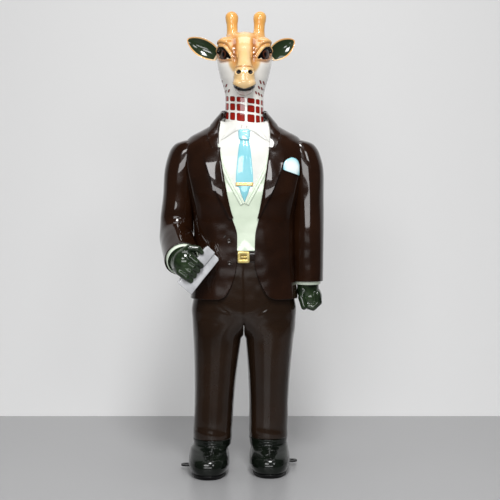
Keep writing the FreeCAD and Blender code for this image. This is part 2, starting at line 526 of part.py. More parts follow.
# ------------------------------------------------------------------ shoes
lugs = {"right": (right_leg_x - 12, lug_right_y, -1), "left": (left_leg_x + 4, lug_left_y, 1)}
shoe_step = 14.0          # the shoe turns quickly, so its sections lie closer together
screws = []
for name, (hem_x, hem_y, side) in legs.items():
    foot_x, lug_y, _ = lugs[name]
    foot_y = hem_y - shoe_set_forward
    shoe_stations = [
        (sole_top, foot_x, foot_y, 0.86 * shoe_half_width, 0.93 * shoe_half_length, 2.5),
        (sole_top + 24, foot_x, foot_y, shoe_half_width, shoe_half_length, 2.5),
        (sole_top + 52, foot_x, foot_y + 3, 0.99 * shoe_half_width, 0.96 * shoe_half_length, 2.4),
        (sole_top + 76, foot_x, foot_y + 18, 0.93 * shoe_half_width, 0.78 * shoe_half_length, 2.2),
        (sole_top + 96, hem_x, hem_y + 3, hem_half_width - 5, hem_half_depth - 1, 2.15),
        (hem_level, hem_x, hem_y, hem_half_width - 1.5, hem_half_depth - 1.5, 2.15),
    ]
    shoe_outside = level_loft(shoe_stations, 0.0, shoe_step)
    shoe = hollow(shoe_stations, skin, shoe_step)
    sole_form = [(0.0, foot_x, foot_y, 0.83 * shoe_half_width, 0.91 * shoe_half_length, 2.5),
                 (sole_top, foot_x, foot_y, 0.86 * shoe_half_width, 0.93 * shoe_half_length, 2.5)]
    sole = level_loft(sole_form)

    plate_low = V(foot_x - plate_half_width, foot_y - plate_half_length, sole_top)
    plate = block(plate_low, plate_low + V(2 * plate_half_width, 2 * plate_half_length, plate_thickness))
    lug_eye = V(foot_x + side * (shoe_half_width + lug_reach - lug_half_width), lug_y, sole_top)
    strap_x = sorted((foot_x + side * plate_half_width, lug_eye.x))
    strap = block(V(strap_x[0], lug_y - lug_half_width, sole_top),
                  V(strap_x[1], lug_y + lug_half_width, sole_top + plate_thickness))
    lug = strap.fuse(Part.makeCylinder(lug_half_width, plate_thickness, lug_eye))
    lug = lug.cut(Part.makeCylinder(lug_hole_radius, plate_thickness, lug_eye))
    shoe = shoe.cut(lug)

    for dx in (-24, 24):
        for dy in (-72, 72):
            spot = V(foot_x + dx, foot_y + dy, 0)
            shank = rod(spot, spot + Z_AXIS * (sole_top + plate_thickness), screw_radius)
            head = Part.makeCone(screw_head_radius, screw_radius, screw_head, spot + Z_AXIS, Z_AXIS)
            screw = shank.cut(everything(z=(-TALL, 1))).fuse(head)
            room = rod(spot, spot + Z_AXIS * (sole_top + plate_thickness), screw_radius).fuse(head).fuse(
                rod(spot, spot + Z_AXIS, screw_head_radius))
            sole = sole.cut(room)
            plate = plate.cut(room)
            screws.append(screw)
    keep(f"shoe_{name}", shoe)
    keep(f"sole_{name}", sole)
    keep(f"foot_plate_{name}", plate)
    keep(f"floor_lug_{name}", lug)

    tongue_top = hem_level - 8
    throat = front_prism([(hem_x - throat_width / 2, tongue_top + 20), (hem_x + throat_width / 2, tongue_top + 20),
                          (hem_x + 8, sole_top + 62), (hem_x - 8, sole_top + 62)], hem_y - 30)
    tongue = level_loft(shoe_stations, -tongue_thickness, shoe_step).cut(shoe_outside).common(throat)
    keep(f"tongue_{name}", tongue.common(everything(z=(-TALL, hem_level - 1))))
    post_x, post_y = hem_x, foot_y * 0.3
    post_foot = V(post_x, post_y, sole_top + plate_thickness)
    keep(f"leg_post_{name}", tube(post_foot, V(post_x, post_y, belt - 60), post_radius, tube_wall))
keep("sole_screws", Part.makeCompound(screws))

# ------------------------------------------------------------------ armature above the legs
bar_low = belt - 60
bar = block(V(right_leg_x - 26, -22, bar_low), V(left_leg_x + 26, -22 + cross_bar_side, bar_low + cross_bar_side))
bore = block(V(right_leg_x - 27, -22 + cross_bar_wall, bar_low + cross_bar_wall),
             V(left_leg_x + 27, -22 + cross_bar_side - cross_bar_wall, bar_low + cross_bar_side - cross_bar_wall))
keep("hip_bar", bar.cut(bore))
spine_foot = V(0, -2, bar_low + cross_bar_side)
spine_top = V(0, 2, up_head(0.55))
keep("spine_tube", tube(spine_foot, spine_top, spine_radius, tube_wall).cut(bar))
spine_solid = rod(spine_foot, spine_top, spine_radius)
shoulder_bar_level = up_torso(0.7)
shoulder_ends = [V(side * (shoulder_half_width - 32), 2, shoulder_bar_level) for side in (-1, 1)]


def bent_rod(spots, radius):
    """A bar through these points, with a ball at each bend."""
    bars = [rod(a, b, radius) for a, b in zip(spots, spots[1:])]
    return bars[0].multiFuse(bars[1:] + [Part.makeSphere(radius, p) for p in spots[1:-1]])


shoulder_bar = rod(*shoulder_ends, arm_rod_radius)
keep("shoulder_bar", shoulder_bar.cut(spine_solid))
left_bends = [shoulder_ends[1] + V(arm_rod_radius, 0, 0), V(shoulder_half_width + 8, 2, up_torso(0.5)),
              left_wrist + V(0, 6, 30), hand_top + down * 24]
right_bends = [shoulder_ends[0] - V(arm_rod_radius, 0, 0), V(-shoulder_half_width - 16, 10, up_torso(0.5)),
               elbow, wrist, wrist + wrist_line * (cuff_show + 22)]
keep("arm_rod_left", bent_rod(left_bends, arm_rod_radius).cut(shoulder_bar))
keep("arm_rod_right", bent_rod(right_bends, arm_rod_radius).cut(shoulder_bar))
arm_rods = nodes["arm_rod_left"].fuse(nodes["arm_rod_right"]).fuse(shoulder_bar)
for name in ("hand_left", "hand_right", "sleeve_left", "sleeve_right", "jacket_front_left", "jacket_front_right",
             "jacket_back"):
    keep(name, nodes[name].cut(arm_rods))

bulkhead = level_loft([(neck_foot - bulkhead_thickness, 0, neck_back, neck_half_width + 6, neck_half_depth + 4, 2.0),
                       (neck_foot, 0, neck_back, neck_half_width + 6, neck_half_depth + 4, 2.0)])
keep("neck_bulkhead", bulkhead.common(inside_shirt).cut(rod(spine_foot, spine_top, spine_radius + fit_gap)))

# ------------------------------------------------------------------ put the origin under the middle, and write
whole = Part.makeCompound(list(nodes.values()))
box = whole.optimalBoundingBox(False, False)
middle = V(-(box.XMin + box.XMax) / 2, -(box.YMin + box.YMax) / 2, -box.ZMin)
print("box", round(box.XLength, 1), round(box.YLength, 1), round(box.ZLength, 1), "shift", middle)
os.makedirs("parts", exist_ok=True)
for name, shape in nodes.items():
    placed = shape.translated(middle)
    placed.exportStep(f"parts/{name}.step")
    print(name, "valid" if shape.isValid() else "INVALID", len(shape.Solids), round(shape.Volume / 1000, 1), "cm3")
for name, (foot_x, lug_y, side) in lugs.items():
    eye = V(foot_x + side * (shoe_half_width + lug_reach - lug_half_width), lug_y, sole_top) + middle
    print("lug", name, eye)
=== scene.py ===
import math

import bmesh
import bpy
from mathutils import Matrix, Vector


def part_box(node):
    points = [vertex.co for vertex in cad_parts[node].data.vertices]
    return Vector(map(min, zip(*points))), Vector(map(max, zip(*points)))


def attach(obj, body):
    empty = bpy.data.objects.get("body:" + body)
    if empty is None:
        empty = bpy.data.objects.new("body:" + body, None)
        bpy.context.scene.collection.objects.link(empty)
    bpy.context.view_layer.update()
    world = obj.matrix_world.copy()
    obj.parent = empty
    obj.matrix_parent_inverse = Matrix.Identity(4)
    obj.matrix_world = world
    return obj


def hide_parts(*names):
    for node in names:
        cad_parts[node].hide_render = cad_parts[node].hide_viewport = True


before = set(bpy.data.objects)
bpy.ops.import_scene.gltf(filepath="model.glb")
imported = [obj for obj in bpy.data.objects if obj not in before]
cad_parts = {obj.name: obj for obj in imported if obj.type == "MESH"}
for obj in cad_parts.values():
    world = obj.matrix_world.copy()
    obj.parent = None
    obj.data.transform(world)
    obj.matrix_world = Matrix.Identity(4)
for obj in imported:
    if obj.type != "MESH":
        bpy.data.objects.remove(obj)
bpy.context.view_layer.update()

# ---------------------------------------------------------------- jacket body
# The jacket is a glass-fibre moulding with a 6 mm raised front edge, cut away in a V from the neck to the
# button and open below it. It is one lay-up, sprayed dark brown and flooded with clear lacquer.
# Every form below is drawn in millimetres round the figure's own centre line, floor at z = 0, front to -y.
back_low, back_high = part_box("jacket_back")
middle = Vector(((back_low.x + back_high.x) / 2 + 0.0018, back_low.y - 0.017, 0.0))
FIGURE = Matrix.Translation(middle) @ Matrix.Scale(0.001, 4)
hem_level, neck_level = back_low.z * 1000, back_high.z * 1000
belt_level = (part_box("belt")[0].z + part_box("belt")[1].z) * 500
torso_height = neck_level - belt_level


def glide(stations, count):
    """count + 1 rows spaced evenly through the stations, each column a cubic that never overshoots."""
    reach = [0.0]
    for a, b in zip(stations, stations[1:]):
        reach.append(reach[-1] + max(0.5, math.dist(a, b)))
    columns = []
    for values in zip(*stations):
        steps = [(b - a) / (u - t) for a, b, t, u in zip(values, values[1:], reach, reach[1:])]
        slopes = [0.0 if a * b <= 0 else 2 * a * b / (a + b) for a, b in zip(steps, steps[1:])]
        columns.append((values, [steps[0]] + slopes + [steps[-1]]))
    rows = []
    for i in range(count + 1):
        t = reach[-1] * i / count
        k = max(j for j in range(len(stations) - 1) if reach[j] <= t + 1e-9)
        h = reach[k + 1] - reach[k]
        u = (t - reach[k]) / h
        rows.append([(1 + 2 * u) * (1 - u) ** 2 * v[k] + u * (1 - u) ** 2 * h * m[k]
                     + u * u * (3 - 2 * u) * v[k + 1] + u * u * (u - 1) * h * m[k + 1] for v,
                     m in columns])
    return rows


def between(a, b, share):
    return a + (b - a) * share


def look_up(rows, at):
    """The row whose first value is at, by straight lines between rows that rise in it."""
    if at <= rows[0][0]:
        return rows[0]
    for a, b in zip(rows, rows[1:]):
        if at <= b[0]:
            share = (at - a[0]) / max(1e-6, b[0] - a[0])
            return [x + (y - x) * share for x, y in zip(a, b)]
    return rows[-1]


def up_torso(share):
    return belt_level + share * torso_height


# height, half width, half depth, middle from front to back, boxiness
trunk = glide([
    (hem_level, 211, 128, 0, 2.8), (belt_level, 197, 119, -2, 2.8), (up_torso(0.22), 196, 117, -3, 2.9),
    (up_torso(0.45), 215, 126, -4, 3.1), (up_torso(0.63), 234, 121, 0, 3.1),
    (up_torso(0.76), 235, 111, 5, 2.8),
    (up_torso(0.825), 212, 98.6, 8, 2.3), (up_torso(0.87), 166.6, 89.6, 9, 2.1),
    (up_torso(0.92), 120.5, 87, 9, 2.0),
    (neck_level, 86, 87, 9, 2.0)], 120)
TRUNK_X = -2.0


def rounded(turn, half_width, half_depth, boxy):
    """A point of a superellipse, at this angle from +x."""
    c, s = math.cos(turn), math.sin(turn)
    reach = (abs(c) ** boxy + abs(s) ** boxy) ** (-1 / boxy)
    return half_width * reach * c, half_depth * reach * s


def on_trunk(turn, z, out=0.0):
    """The jacket's outside at this angle and height, moved outwards."""
    _, width, depth, y, boxy = look_up(trunk, z)
    px, py = rounded(turn, width + out, depth + out, boxy)
    return Vector((TRUNK_X + px, y + py, z))


def on_front(x, z, out=0.0):
    """The jacket's front at this x and height, moved outwards."""
    _, width, depth, y, boxy = look_up(trunk, z)
    share = min(0.985, abs((x - TRUNK_X) / (width + out)))
    return Vector((x, y - (depth + out) * (1 - share ** boxy) ** (1 / boxy), z))


def front_turn(x, z, out=0.0):
    """The angle at which the jacket's front has this x."""
    spot = on_front(x, z, out)
    _, width, depth, y, boxy = look_up(trunk, z)
    return math.atan2((spot.y - y) / (depth + out), (spot.x - TRUNK_X) / (width + out))


def sheet(columns, rows, place):
    """A grid of faces, its corner (0, 0) to (1, 1) laid where place says."""
    bm = bmesh.new()
    bmesh.ops.create_grid(bm, x_segments=columns, y_segments=rows, size=1.0, calc_uvs=True)
    for v in bm.verts:
        v.co = place((v.co.x + 1) / 2, (v.co.y + 1) / 2)
    return bm


def tube(columns, rows, place, capped=True):
    """A sheet rolled until its two sides meet, with its ends closed."""
    bm = sheet(columns, rows, place)
    bmesh.ops.remove_doubles(bm, verts=bm.verts, dist=0.02)
    if capped:
        rims = [e for e in bm.edges if e.is_boundary]
        caps = bmesh.ops.holes_fill(bm, edges=rims, sides=0)["faces"]
        bmesh.ops.poke(bm, faces=[f for f in caps if len(f.verts) > 4])
    bmesh.ops.recalc_face_normals(bm, faces=bm.faces)
    return bm


def settle(bm, name, paint, nodes=(), flip=False):
    """Puts a finished form on the figure as a piece, in place of these CAD nodes."""
    bmesh.ops.transform(bm, matrix=FIGURE, verts=bm.verts)
    if flip:
        bmesh.ops.reverse_faces(bm, faces=bm.faces)
    mesh = bpy.data.meshes.new(name)
    bm.to_mesh(mesh)
    bm.free()
    for face in mesh.polygons:
        face.use_smooth = True
    for material in paint if isinstance(paint, (list, tuple)) else [paint]:
        mesh.materials.append(material)
    piece = bpy.data.objects.new(name, mesh)
    bpy.context.scene.collection.objects.link(piece)
    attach(piece, "root")
    if nodes:
        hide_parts(*nodes)
    return piece


def thicken(piece, wall, rim=0.0, levels=0, offset=-1.0):
    """Gives a sheet its wall, a rounded rim, and a finer surface; sizes in millimetres."""
    solid = piece.modifiers.new("wall", "SOLIDIFY")
    solid.thickness, solid.offset, solid.use_even_offset = wall * 0.001, offset, False
    if rim:
        bevel = piece.modifiers.new("rim", "BEVEL")
        bevel.width, bevel.segments, bevel.limit_method = rim * 0.001, 3, "ANGLE"
        bevel.angle_limit = math.radians(50)
    if levels:
        finer = piece.modifiers.new("finer", "SUBSURF")
        finer.levels = finer.render_levels = levels
    return piece


def value(tree, kind, **settings):
    node = tree.nodes.new(kind)
    for key, setting in settings.items():
        if key.startswith("in_"):
            node.inputs[key[3:].replace("_", " ")].default_value = setting
        else:
            setattr(node, key, setting)
    return node


def lacquer_group():
    """Hand-sprayed lacquer: a slow mottle for the colour, a fine rub for the roughness, and a normal with
    sag and orange peel.
    """
    group = bpy.data.node_groups.new("hand_lacquer", "ShaderNodeTree")
    for name, kind, start in (("Mottle Scale", "NodeSocketFloat", 9.0), ("Sag", "NodeSocketFloat", 0.3),
                              ("Peel", "NodeSocketFloat", 0.05)):
        group.interface.new_socket(name, in_out="INPUT", socket_type=kind).default_value = start
    for name, kind in (("Mottle", "NodeSocketFloat"), ("Rub", "NodeSocketFloat"),
                       ("Normal", "NodeSocketVector")):
        group.interface.new_socket(name, in_out="OUTPUT", socket_type=kind)
    given, out = group.nodes.new("NodeGroupInput"), group.nodes.new("NodeGroupOutput")
    place = group.nodes.new("ShaderNodeTexCoord")
    link = group.links.new
    mottle = value(group, "ShaderNodeTexNoise", in_Detail=3.0, in_Roughness=0.55)
    link(place.outputs["Object"], mottle.inputs["Vector"])
    link(given.outputs["Mottle Scale"], mottle.inputs["Scale"])
    link(mottle.outputs["Fac"], out.inputs["Mottle"])
    rub = value(group, "ShaderNodeTexNoise", in_Scale=60.0, in_Detail=5.0, in_Roughness=0.65)
    link(place.outputs["Object"], rub.inputs["Vector"])
    link(rub.outputs["Fac"], out.inputs["Rub"])
    sag = value(group, "ShaderNodeTexNoise", in_Scale=14.0, in_Detail=1.0)
    peel = value(group, "ShaderNodeTexNoise", in_Scale=260.0, in_Detail=1.5)
    link(place.outputs["Object"], sag.inputs["Vector"])
    link(place.outputs["Object"], peel.inputs["Vector"])
    slow = value(group, "ShaderNodeBump", in_Distance=0.02)
    fine = value(group, "ShaderNodeBump", in_Distance=0.002)
    link(given.outputs["Sag"], slow.inputs["Strength"])
    link(sag.outputs["Fac"], slow.inputs["Height"])
    link(given.outputs["Peel"], fine.inputs["Strength"])
    link(peel.outputs["Fac"], fine.inputs["Height"])
    link(slow.outputs["Normal"], fine.inputs["Normal"])
    link(fine.outputs["Normal"], out.inputs["Normal"])
    return group


hand_lacquer = lacquer_group()


def lacquered(name, dark, light, roughness=(0.16, 0.26), sag=0.3, peel=0.05, mottle_scale=9.0,
              metallic=0.0,
              coat=1.0):
    """Paint that wanders between two close colours, under a clear coat."""
    material = bpy.data.materials.new(name)
    material.use_nodes = True
    tree = material.node_tree
    shader = tree.nodes["Principled BSDF"]
    shader.inputs["Metallic"].default_value = metallic
    shader.inputs["Coat Weight"].default_value = coat
    shader.inputs["Coat Roughness"].default_value = 0.035
    shader.inputs["Coat IOR"].default_value = 1.45
    shader.inputs["IOR"].default_value = 1.5
    shader.inputs["Specular IOR Level"].default_value = 0.1
    effect = value(tree, "ShaderNodeGroup", node_tree=hand_lacquer)
    effect.inputs["Mottle Scale"].default_value = mottle_scale
    effect.inputs["Sag"].default_value = sag
    effect.inputs["Peel"].default_value = peel
    tone = tree.nodes.new("ShaderNodeMix")
    tone.data_type = "RGBA"
    tone.inputs["A"].default_value = (*dark, 1.0)
    tone.inputs["B"].default_value = (*light, 1.0)
    spread = value(tree, "ShaderNodeMapRange")
    spread.inputs["From Min"].default_value, spread.inputs["From Max"].default_value = 0.3, 0.7
    tree.links.new(effect.outputs["Mottle"], spread.inputs["Value"])
    tree.links.new(spread.outputs["Result"], tone.inputs["Factor"])
    tree.links.new(tone.outputs["Result"], shader.inputs["Base Color"])
    dull = value(tree, "ShaderNodeMapRange")
    dull.inputs["To Min"].default_value, dull.inputs["To Max"].default_value = roughness
    tree.links.new(effect.outputs["Rub"], dull.inputs["Value"])
    tree.links.new(dull.outputs["Result"], shader.inputs["Roughness"])
    tree.links.new(effect.outputs["Normal"], shader.inputs["Normal"])
    return material


def srgb(red, green, blue):
    """A paint colour given as 0 to 255 screen values, as the linear values that a shader takes."""
    return tuple((c / 255 / 12.92) if c <= 10
                 else ((c / 255 + 0.055) / 1.055) ** 2.4 for c in (red, green, blue))


suit_paint = lacquered("suit_brown", srgb(26, 12, 5), srgb(37, 19, 9))

# height, the right edge's x, the left edge's x
opening = glide([
    (hem_level, -100, 122), (hem_level + 5, -84, 104), (hem_level + 20, -68, 86),
    (up_torso(-0.17), -45, 60),
    (up_torso(-0.04), -29, 39), (up_torso(0.14), -27, 41), (up_torso(0.32), -58, 64),
    (up_torso(0.6), -86, 88),
    (up_torso(0.67), -92, 93), (up_torso(0.8), -98, 101), (up_torso(0.92), -96, 98),
    (neck_level, -70, 72)], 90)


def jacket_wrap(u, v):
    """From the left front edge round the back to the right front edge, hem to neck."""
    z = hem_level + (neck_level - hem_level) * v
    _, right_x, left_x = look_up(opening, z)
    start = front_turn(left_x, z)
    end = front_turn(right_x, z) + 2 * math.pi
    turn = start + (end - start) * u
    spot = on_trunk(turn, z)
    back_seam = math.exp(-((turn - math.pi / 2) * 190 / 5.0) ** 2)
    vent = max(0.0, 1 - (z - hem_level) / 190) * math.exp(-((turn - math.pi / 2) * 190 / 8.0) ** 2)
    waist_fold = (1.6 * math.sin((z - 700) / 31) * math.exp(-((z - up_torso(0.2)) / 70) ** 2)
                  * math.sin(turn) ** 2)
    inward = 1.8 * back_seam + 3.0 * vent - (waist_fold if spot.y > 0 else 0)
    spot.x -= (spot.x - TRUNK_X) * inward / 200
    spot.y -= math.copysign(inward, spot.y)
    return spot


jacket = settle(sheet(220, 110, jacket_wrap), "jacket_body", suit_paint,
                ("jacket_back", "jacket_front_right", "jacket_front_left"))
thicken(jacket, 6.0, rim=2.2, levels=1)

# ---------------------------------------------------------------- sleeves
# Each sleeve is a separate tapering tube bonded into the armhole. The left hangs straight, and the right
# bends at the elbow, where the moulding has soft folds, and ends round the cuff at the waist.


def follow(stations, count):
    """Sections along a limb: (centre, direction, half width, half depth), spaced evenly."""
    rows = [(*centre, *(Vector(axis).normalized() * 60), w, d) for centre, axis, w, d in stations]
    return [(Vector(r[:3]), Vector(r[3:6]).normalized(), r[6], r[7]) for r in glide(rows, count)]


def limb(columns, rows, stations, relief=lambda turn, share: 0.0, boxy=2.0):
    """A closed form through the sections of a limb, with relief added outwards."""
    sections = follow(stations, rows)

    def place(u, v):
        centre, axis, w, d = sections[round(v * rows)]
        turn = 2 * math.pi * u
        across = (Vector((1, 0, 0)) - axis * axis.x).normalized()
        extra = relief(turn, v)
        px, py = rounded(turn, w + extra, d + extra, boxy)
        return centre + across * px + axis.cross(across) * py

    return tube(columns, rows, place)


left_sleeve_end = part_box("sleeve_left")[0].z * 1000
left_sleeve = [
    (Vector((168, 8, up_torso(0.80))), (0, 0, -1), 4, 4),
    (Vector((182, 8, up_torso(0.808))), (0, 0, -1), 26, 34),
    (Vector((209, 7, up_torso(0.782))), (0, 0, -1), 56, 60),
    (Vector((226, 5, up_torso(0.715))), (0, 0, -1), 67, 68),
    (Vector((241, 3, up_torso(0.6))), (0, 0, -1), 68, 71),
    (Vector((247, 2, up_torso(0.4))), (0, 0, -1), 63, 69),
    (Vector((249, -2, up_torso(0.15))), (0, 0, -1), 62, 66),
    (Vector((249, -8, left_sleeve_end)), (0, 0, -1), 59, 61),
    (Vector((249, -8, left_sleeve_end + 0.5)), (0, 0, -1), 54, 56),
    (Vector((249, -8, left_sleeve_end + 26)), (0, 0, -1), 53, 55)]


def left_relief(turn, share):
    """Long shallow folds down a hanging sleeve."""
    body = math.sin(math.pi * min(1, max(0, (share - 0.2) / 0.7)))
    return body * (0.8 * math.sin(2 * turn + 5 * share) + 0.5 * math.sin(5 * turn - 9 * share))


settle(limb(72, 90, left_sleeve, left_relief), "sleeve_left_form", suit_paint, ("sleeve_left",))

wrist_line = Vector((0.30, -0.86, -0.42)).normalized()
wrist = Vector((-236, -152, belt_level - 4))
elbow = Vector((-268, 6, up_torso(0.165)))
right_sleeve = [
    (Vector((-170, 8, up_torso(0.80))), (0, 0, -1), 4, 4),
    (Vector((-184, 8, up_torso(0.808))), (0, 0, -1), 26, 34),
    (Vector((-211, 7, up_torso(0.782))), (0, 0, -1), 56, 60),
    (Vector((-228, 5, up_torso(0.715))), (0, 0, -1), 67, 68),
    (Vector((-244, 6, up_torso(0.6))), (0, 0.05, -1), 68, 71),
    (Vector((-256, 14, up_torso(0.4))), (-0.05, 0.06, -1), 65, 71),
    (Vector((-265, 16, up_torso(0.25))), (0, -0.25, -1), 66, 73),
    (elbow + Vector((2, -16, -12)), (0.12, -0.75, -0.75), 67, 74),
    ((elbow + wrist) / 2 + Vector((-3, 0, -2)), (0.22, -0.9, -0.42), 67, 71), (wrist, wrist_line, 69, 69),
    (wrist - wrist_line * 0.5, wrist_line, 65, 65), (wrist - wrist_line * 26, wrist_line, 64, 64)]


def right_relief(turn, share):
    """Folds that gather inside the elbow and fade round to the outside."""
    bend = math.exp(-((share - 0.66) / 0.13) ** 2)
    inner = max(0.0, math.cos(turn + math.pi / 2)) ** 0.7
    gather = 1.3 * math.sin(share * 70 + 1.2 * math.sin(turn)) * bend * inner
    upper = math.sin(math.pi * min(1, share / 0.6)) * 0.5 * math.sin(2 * turn + 6 * share)
    return gather + upper


settle(limb(72, 120, right_sleeve, right_relief), "sleeve_right_form", suit_paint,
       ("sleeve_right",))

# ---------------------------------------------------------------- lapels and jacket collar
# Notched lapels are raised 5 mm on the chest, rolled over at the opening and thin at their outer edge.
# The collar runs from notch to notch round the back of the neck, standing up and falling over.


def lapel(side):
    """The lapel on one side: -1 is the figure's right."""
    outer = [(up_torso(0.262), 57.0), (up_torso(0.33), 74.0), (up_torso(0.47), 112.0),
             (up_torso(0.6), 139.0),
             (up_torso(0.70), 152.0), (up_torso(0.728), 149.0), (up_torso(0.735), 128.0),
             (up_torso(0.745), 108.0)]
    rows = glide(outer, 60)

    def place(u, v):
        z, outer_x = rows[round(v * 60)]
        _, right_x, left_x = look_up(opening, z)
        inner_x = abs(right_x if side < 0 else left_x) - 1.0
        x = side * between(inner_x, max(inner_x + 0.5, outer_x), u)
        tilt = 7.5 * math.sin(math.pi * min(1.0,
                                            max(0.0,
                                                (z - up_torso(0.26)) / (0.46 * torso_height)))) ** 0.6
        roll = math.sqrt(max(0.0, 1 - (1 - min(1, u / 0.12)) ** 2))
        return on_front(x, z, max(0.8, roll * (2.5 + tilt * u * (1.6 - 0.6 * u))))

    return sheet(20, 60, place)


for side, name in ((-1, "right"), (1, "left")):
    piece = settle(lapel(side), f"lapel_{name}_form", suit_paint, (f"lapel_{name}",),
                   flip=side > 0)
    thicken(piece, 6.0, rim=1.6, levels=1)


def collar_path(points, count):
    """A smooth run through given points, mirrored to make it whole from left front to right front."""
    half = [tuple(p) for p in points]
    whole = half + [(-p[0] + 2 * TRUNK_X, p[1], p[2]) for p in half[-2::-1]]
    return [Vector(p) for p in glide(whole, count)]


def trunk_point(x, z, out):
    return tuple(on_front(x, z, out))


def ring_point(degrees, z, out):
    return tuple(on_trunk(math.radians(degrees), z, out))


fold_edge = collar_path([
    trunk_point(96, up_torso(0.735), 0.5), trunk_point(98, up_torso(0.83), 3.0),
    trunk_point(97, up_torso(0.88), 3.0),
    ring_point(-40, up_torso(0.92), 3.0), ring_point(-27, neck_level - 8, 2.0),
    ring_point(6, neck_level + 2, 2.0),
    ring_point(50, neck_level + 12, 5.0), (TRUNK_X, 101, neck_level + 17)], 96)
fall_edge = collar_path([
    trunk_point(119, up_torso(0.742), 1.0), trunk_point(132, up_torso(0.79), 2.5),
    trunk_point(138, up_torso(0.83), 2.5),
    ring_point(-36, up_torso(0.878), 2.5), ring_point(-18, up_torso(0.905), 2.5),
    ring_point(6, up_torso(0.914), 2.5),
    ring_point(50, up_torso(0.91), 3.0), (TRUNK_X, 106, neck_level - 53)], 96)


def collar_place(u, v):
    k = round(u * 96)
    spot = between(fold_edge[k], fall_edge[k], v)
    swell = 2.0 * math.sin(math.pi * v) * min(1.0, 8 * min(u, 1 - u))
    away = Vector((spot.x - TRUNK_X, spot.y - 9, 0)).normalized()
    return spot + away * swell


collar = settle(sheet(96, 20, collar_place), "jacket_collar_form", suit_paint, ("jacket_collar",))
thicken(collar, 4.0, rim=1.8, levels=1)

# ---------------------------------------------------------------- shirt and its collar
# The shirt is the moulding's own skin inside the opening, sprayed white. Its turned-down collar closes
# against the neck and ends in two points beside the tie knot.
shirt_paint = lacquered("shirt_white", srgb(216, 216, 210), srgb(230, 230, 226), sag=0.15)
UNDER = -7.0


def shirt_place(u, v):
    z = between(up_torso(0.30), up_torso(0.895), v)
    reach = min(112, 0.82 * look_up(trunk, z)[1])
    return on_front(between(-reach, reach, u), z, UNDER + 0.5)


shirt = settle(sheet(50, 70, shirt_place), "shirt_panel", shirt_paint, ("shirt_front",))
thicken(shirt, 3.0)
neck_x, neck_y = 0.0, 9.0


leaf_low = glide([(0, neck_level - 74), (8, neck_level - 75), (22, neck_level - 112),
                  (30, neck_level - 121),
                  (37, neck_level - 108), (52, neck_level - 62), (75, neck_level - 34),
                  (180, neck_level - 30)], 60)


def smooth_step(share):
    share = min(1.0, max(0.0, share))
    return share * share * (3 - 2 * share)


def shirt_collar_place(u, v):
    """From the left of the knot round the back to its right, top edge down to the leaf's edge."""
    turn = math.radians(between(-90 + 5, 270 - 5, u))
    off_front = math.degrees(turn) + 90 if u < 0.5 else 270 - math.degrees(turn)
    front = max(0.0, -math.sin(turn)) ** 2.2
    rise = 10 * (1 - front) + 30 * smooth_step(math.sin(turn) + 0.2)
    top = Vector((neck_x + 82 * math.cos(turn), neck_y + 84 * math.sin(turn), neck_level - 51 + rise))
    chest = on_trunk(turn, look_up(leaf_low, off_front)[1], UNDER + 2.0)
    if abs(chest.x) > 93 and off_front < 70:
        chest = on_front(math.copysign(93, chest.x), chest.z, UNDER + 2.0)
    spot = between(top, chest, v)
    belly = 1.2 * math.sin(math.pi * v) * front ** 0.5
    return spot + Vector((math.cos(turn), math.sin(turn), 0.3)) * belly


shirt_collar = settle(sheet(120, 16, shirt_collar_place), "shirt_collar_form", shirt_paint,
                      ("shirt_collar",))
thicken(shirt_collar, 2.4, rim=1.0, levels=1)

# ---------------------------------------------------------------- waistcoat
# A knitted V-neck waistcoat, sprayed pale mint. The V has two raised ribs side by side, and the hem ends
# just over the belt. The knit is only hinted at under the lacquer.
mint_paint = lacquered("waistcoat_mint", srgb(203, 217, 195), srgb(222, 233, 214), sag=0.35, peel=0.07)
vest_hem, vee_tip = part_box("waistcoat")[0].z * 1000, up_torso(0.366)
vee = glide([(vee_tip, 0.0), (up_torso(0.41), 13), (up_torso(0.465), 30.0), (up_torso(0.552), 56.0),
             (up_torso(0.66), 82.0), (up_torso(0.75), 98.0), (up_torso(0.82), 106.0)], 60)


def vest_place(side):
    def place(u, v):
        z = between(vest_hem, up_torso(0.80), v)
        inner = look_up(vee, z)[1] if z > vee_tip else 0.0
        _, right_x, left_x = look_up(opening, z)
        outer = max(inner + 1.0, abs(right_x if side < 0 else left_x) + 9.0)
        x = 1.0 + side * between(inner, outer, u)
        fold = 0.7 * math.sin(z / 17 + 3 * u) * max(0.0, 1 - (z - vest_hem) / 120)
        return on_front(x, z, UNDER + 3.4 + fold)
    return place


def rib_place(side, start, width):
    """A round rib that follows the V, start millimetres outside its edge."""
    def place(u, v):
        z, inner = vee[round(v * 60)]
        across = between(start, start + width, u)
        x = 1.0 + side * (inner + across)
        return on_front(x, z - 0.45 * across, UNDER + 3.2 + 2.6 * math.sin(math.pi * u) ** 0.6)
    return place


vest = bmesh.new()
for side in (-1, 1):
    half = sheet(24, 110, vest_place(side))
    if side < 0:
        bmesh.ops.reverse_faces(half, faces=half.faces)
    loose = bpy.data.meshes.new("half")
    half.to_mesh(loose)
    vest.from_mesh(loose)
    bpy.data.meshes.remove(loose)
    half.free()
bmesh.ops.remove_doubles(vest, verts=vest.verts, dist=0.2)
vest_piece = settle(vest, "waistcoat_form", mint_paint, ("waistcoat",))
thicken(vest_piece, 2.6, rim=0.9)
rib_paint = lacquered("waistcoat_rib", srgb(214, 228, 206), srgb(231, 240, 225), sag=0.2)
for side, name in ((-1, "right"), (1, "left")):
    for k, start in enumerate((0.0, 8.5)):
        rib = settle(sheet(8, 60, rib_place(side, start, 7.5)), f"vee_rib_{name}_{k + 1}", rib_paint,
                     flip=side > 0)
        thicken(rib, 2.0, levels=1)
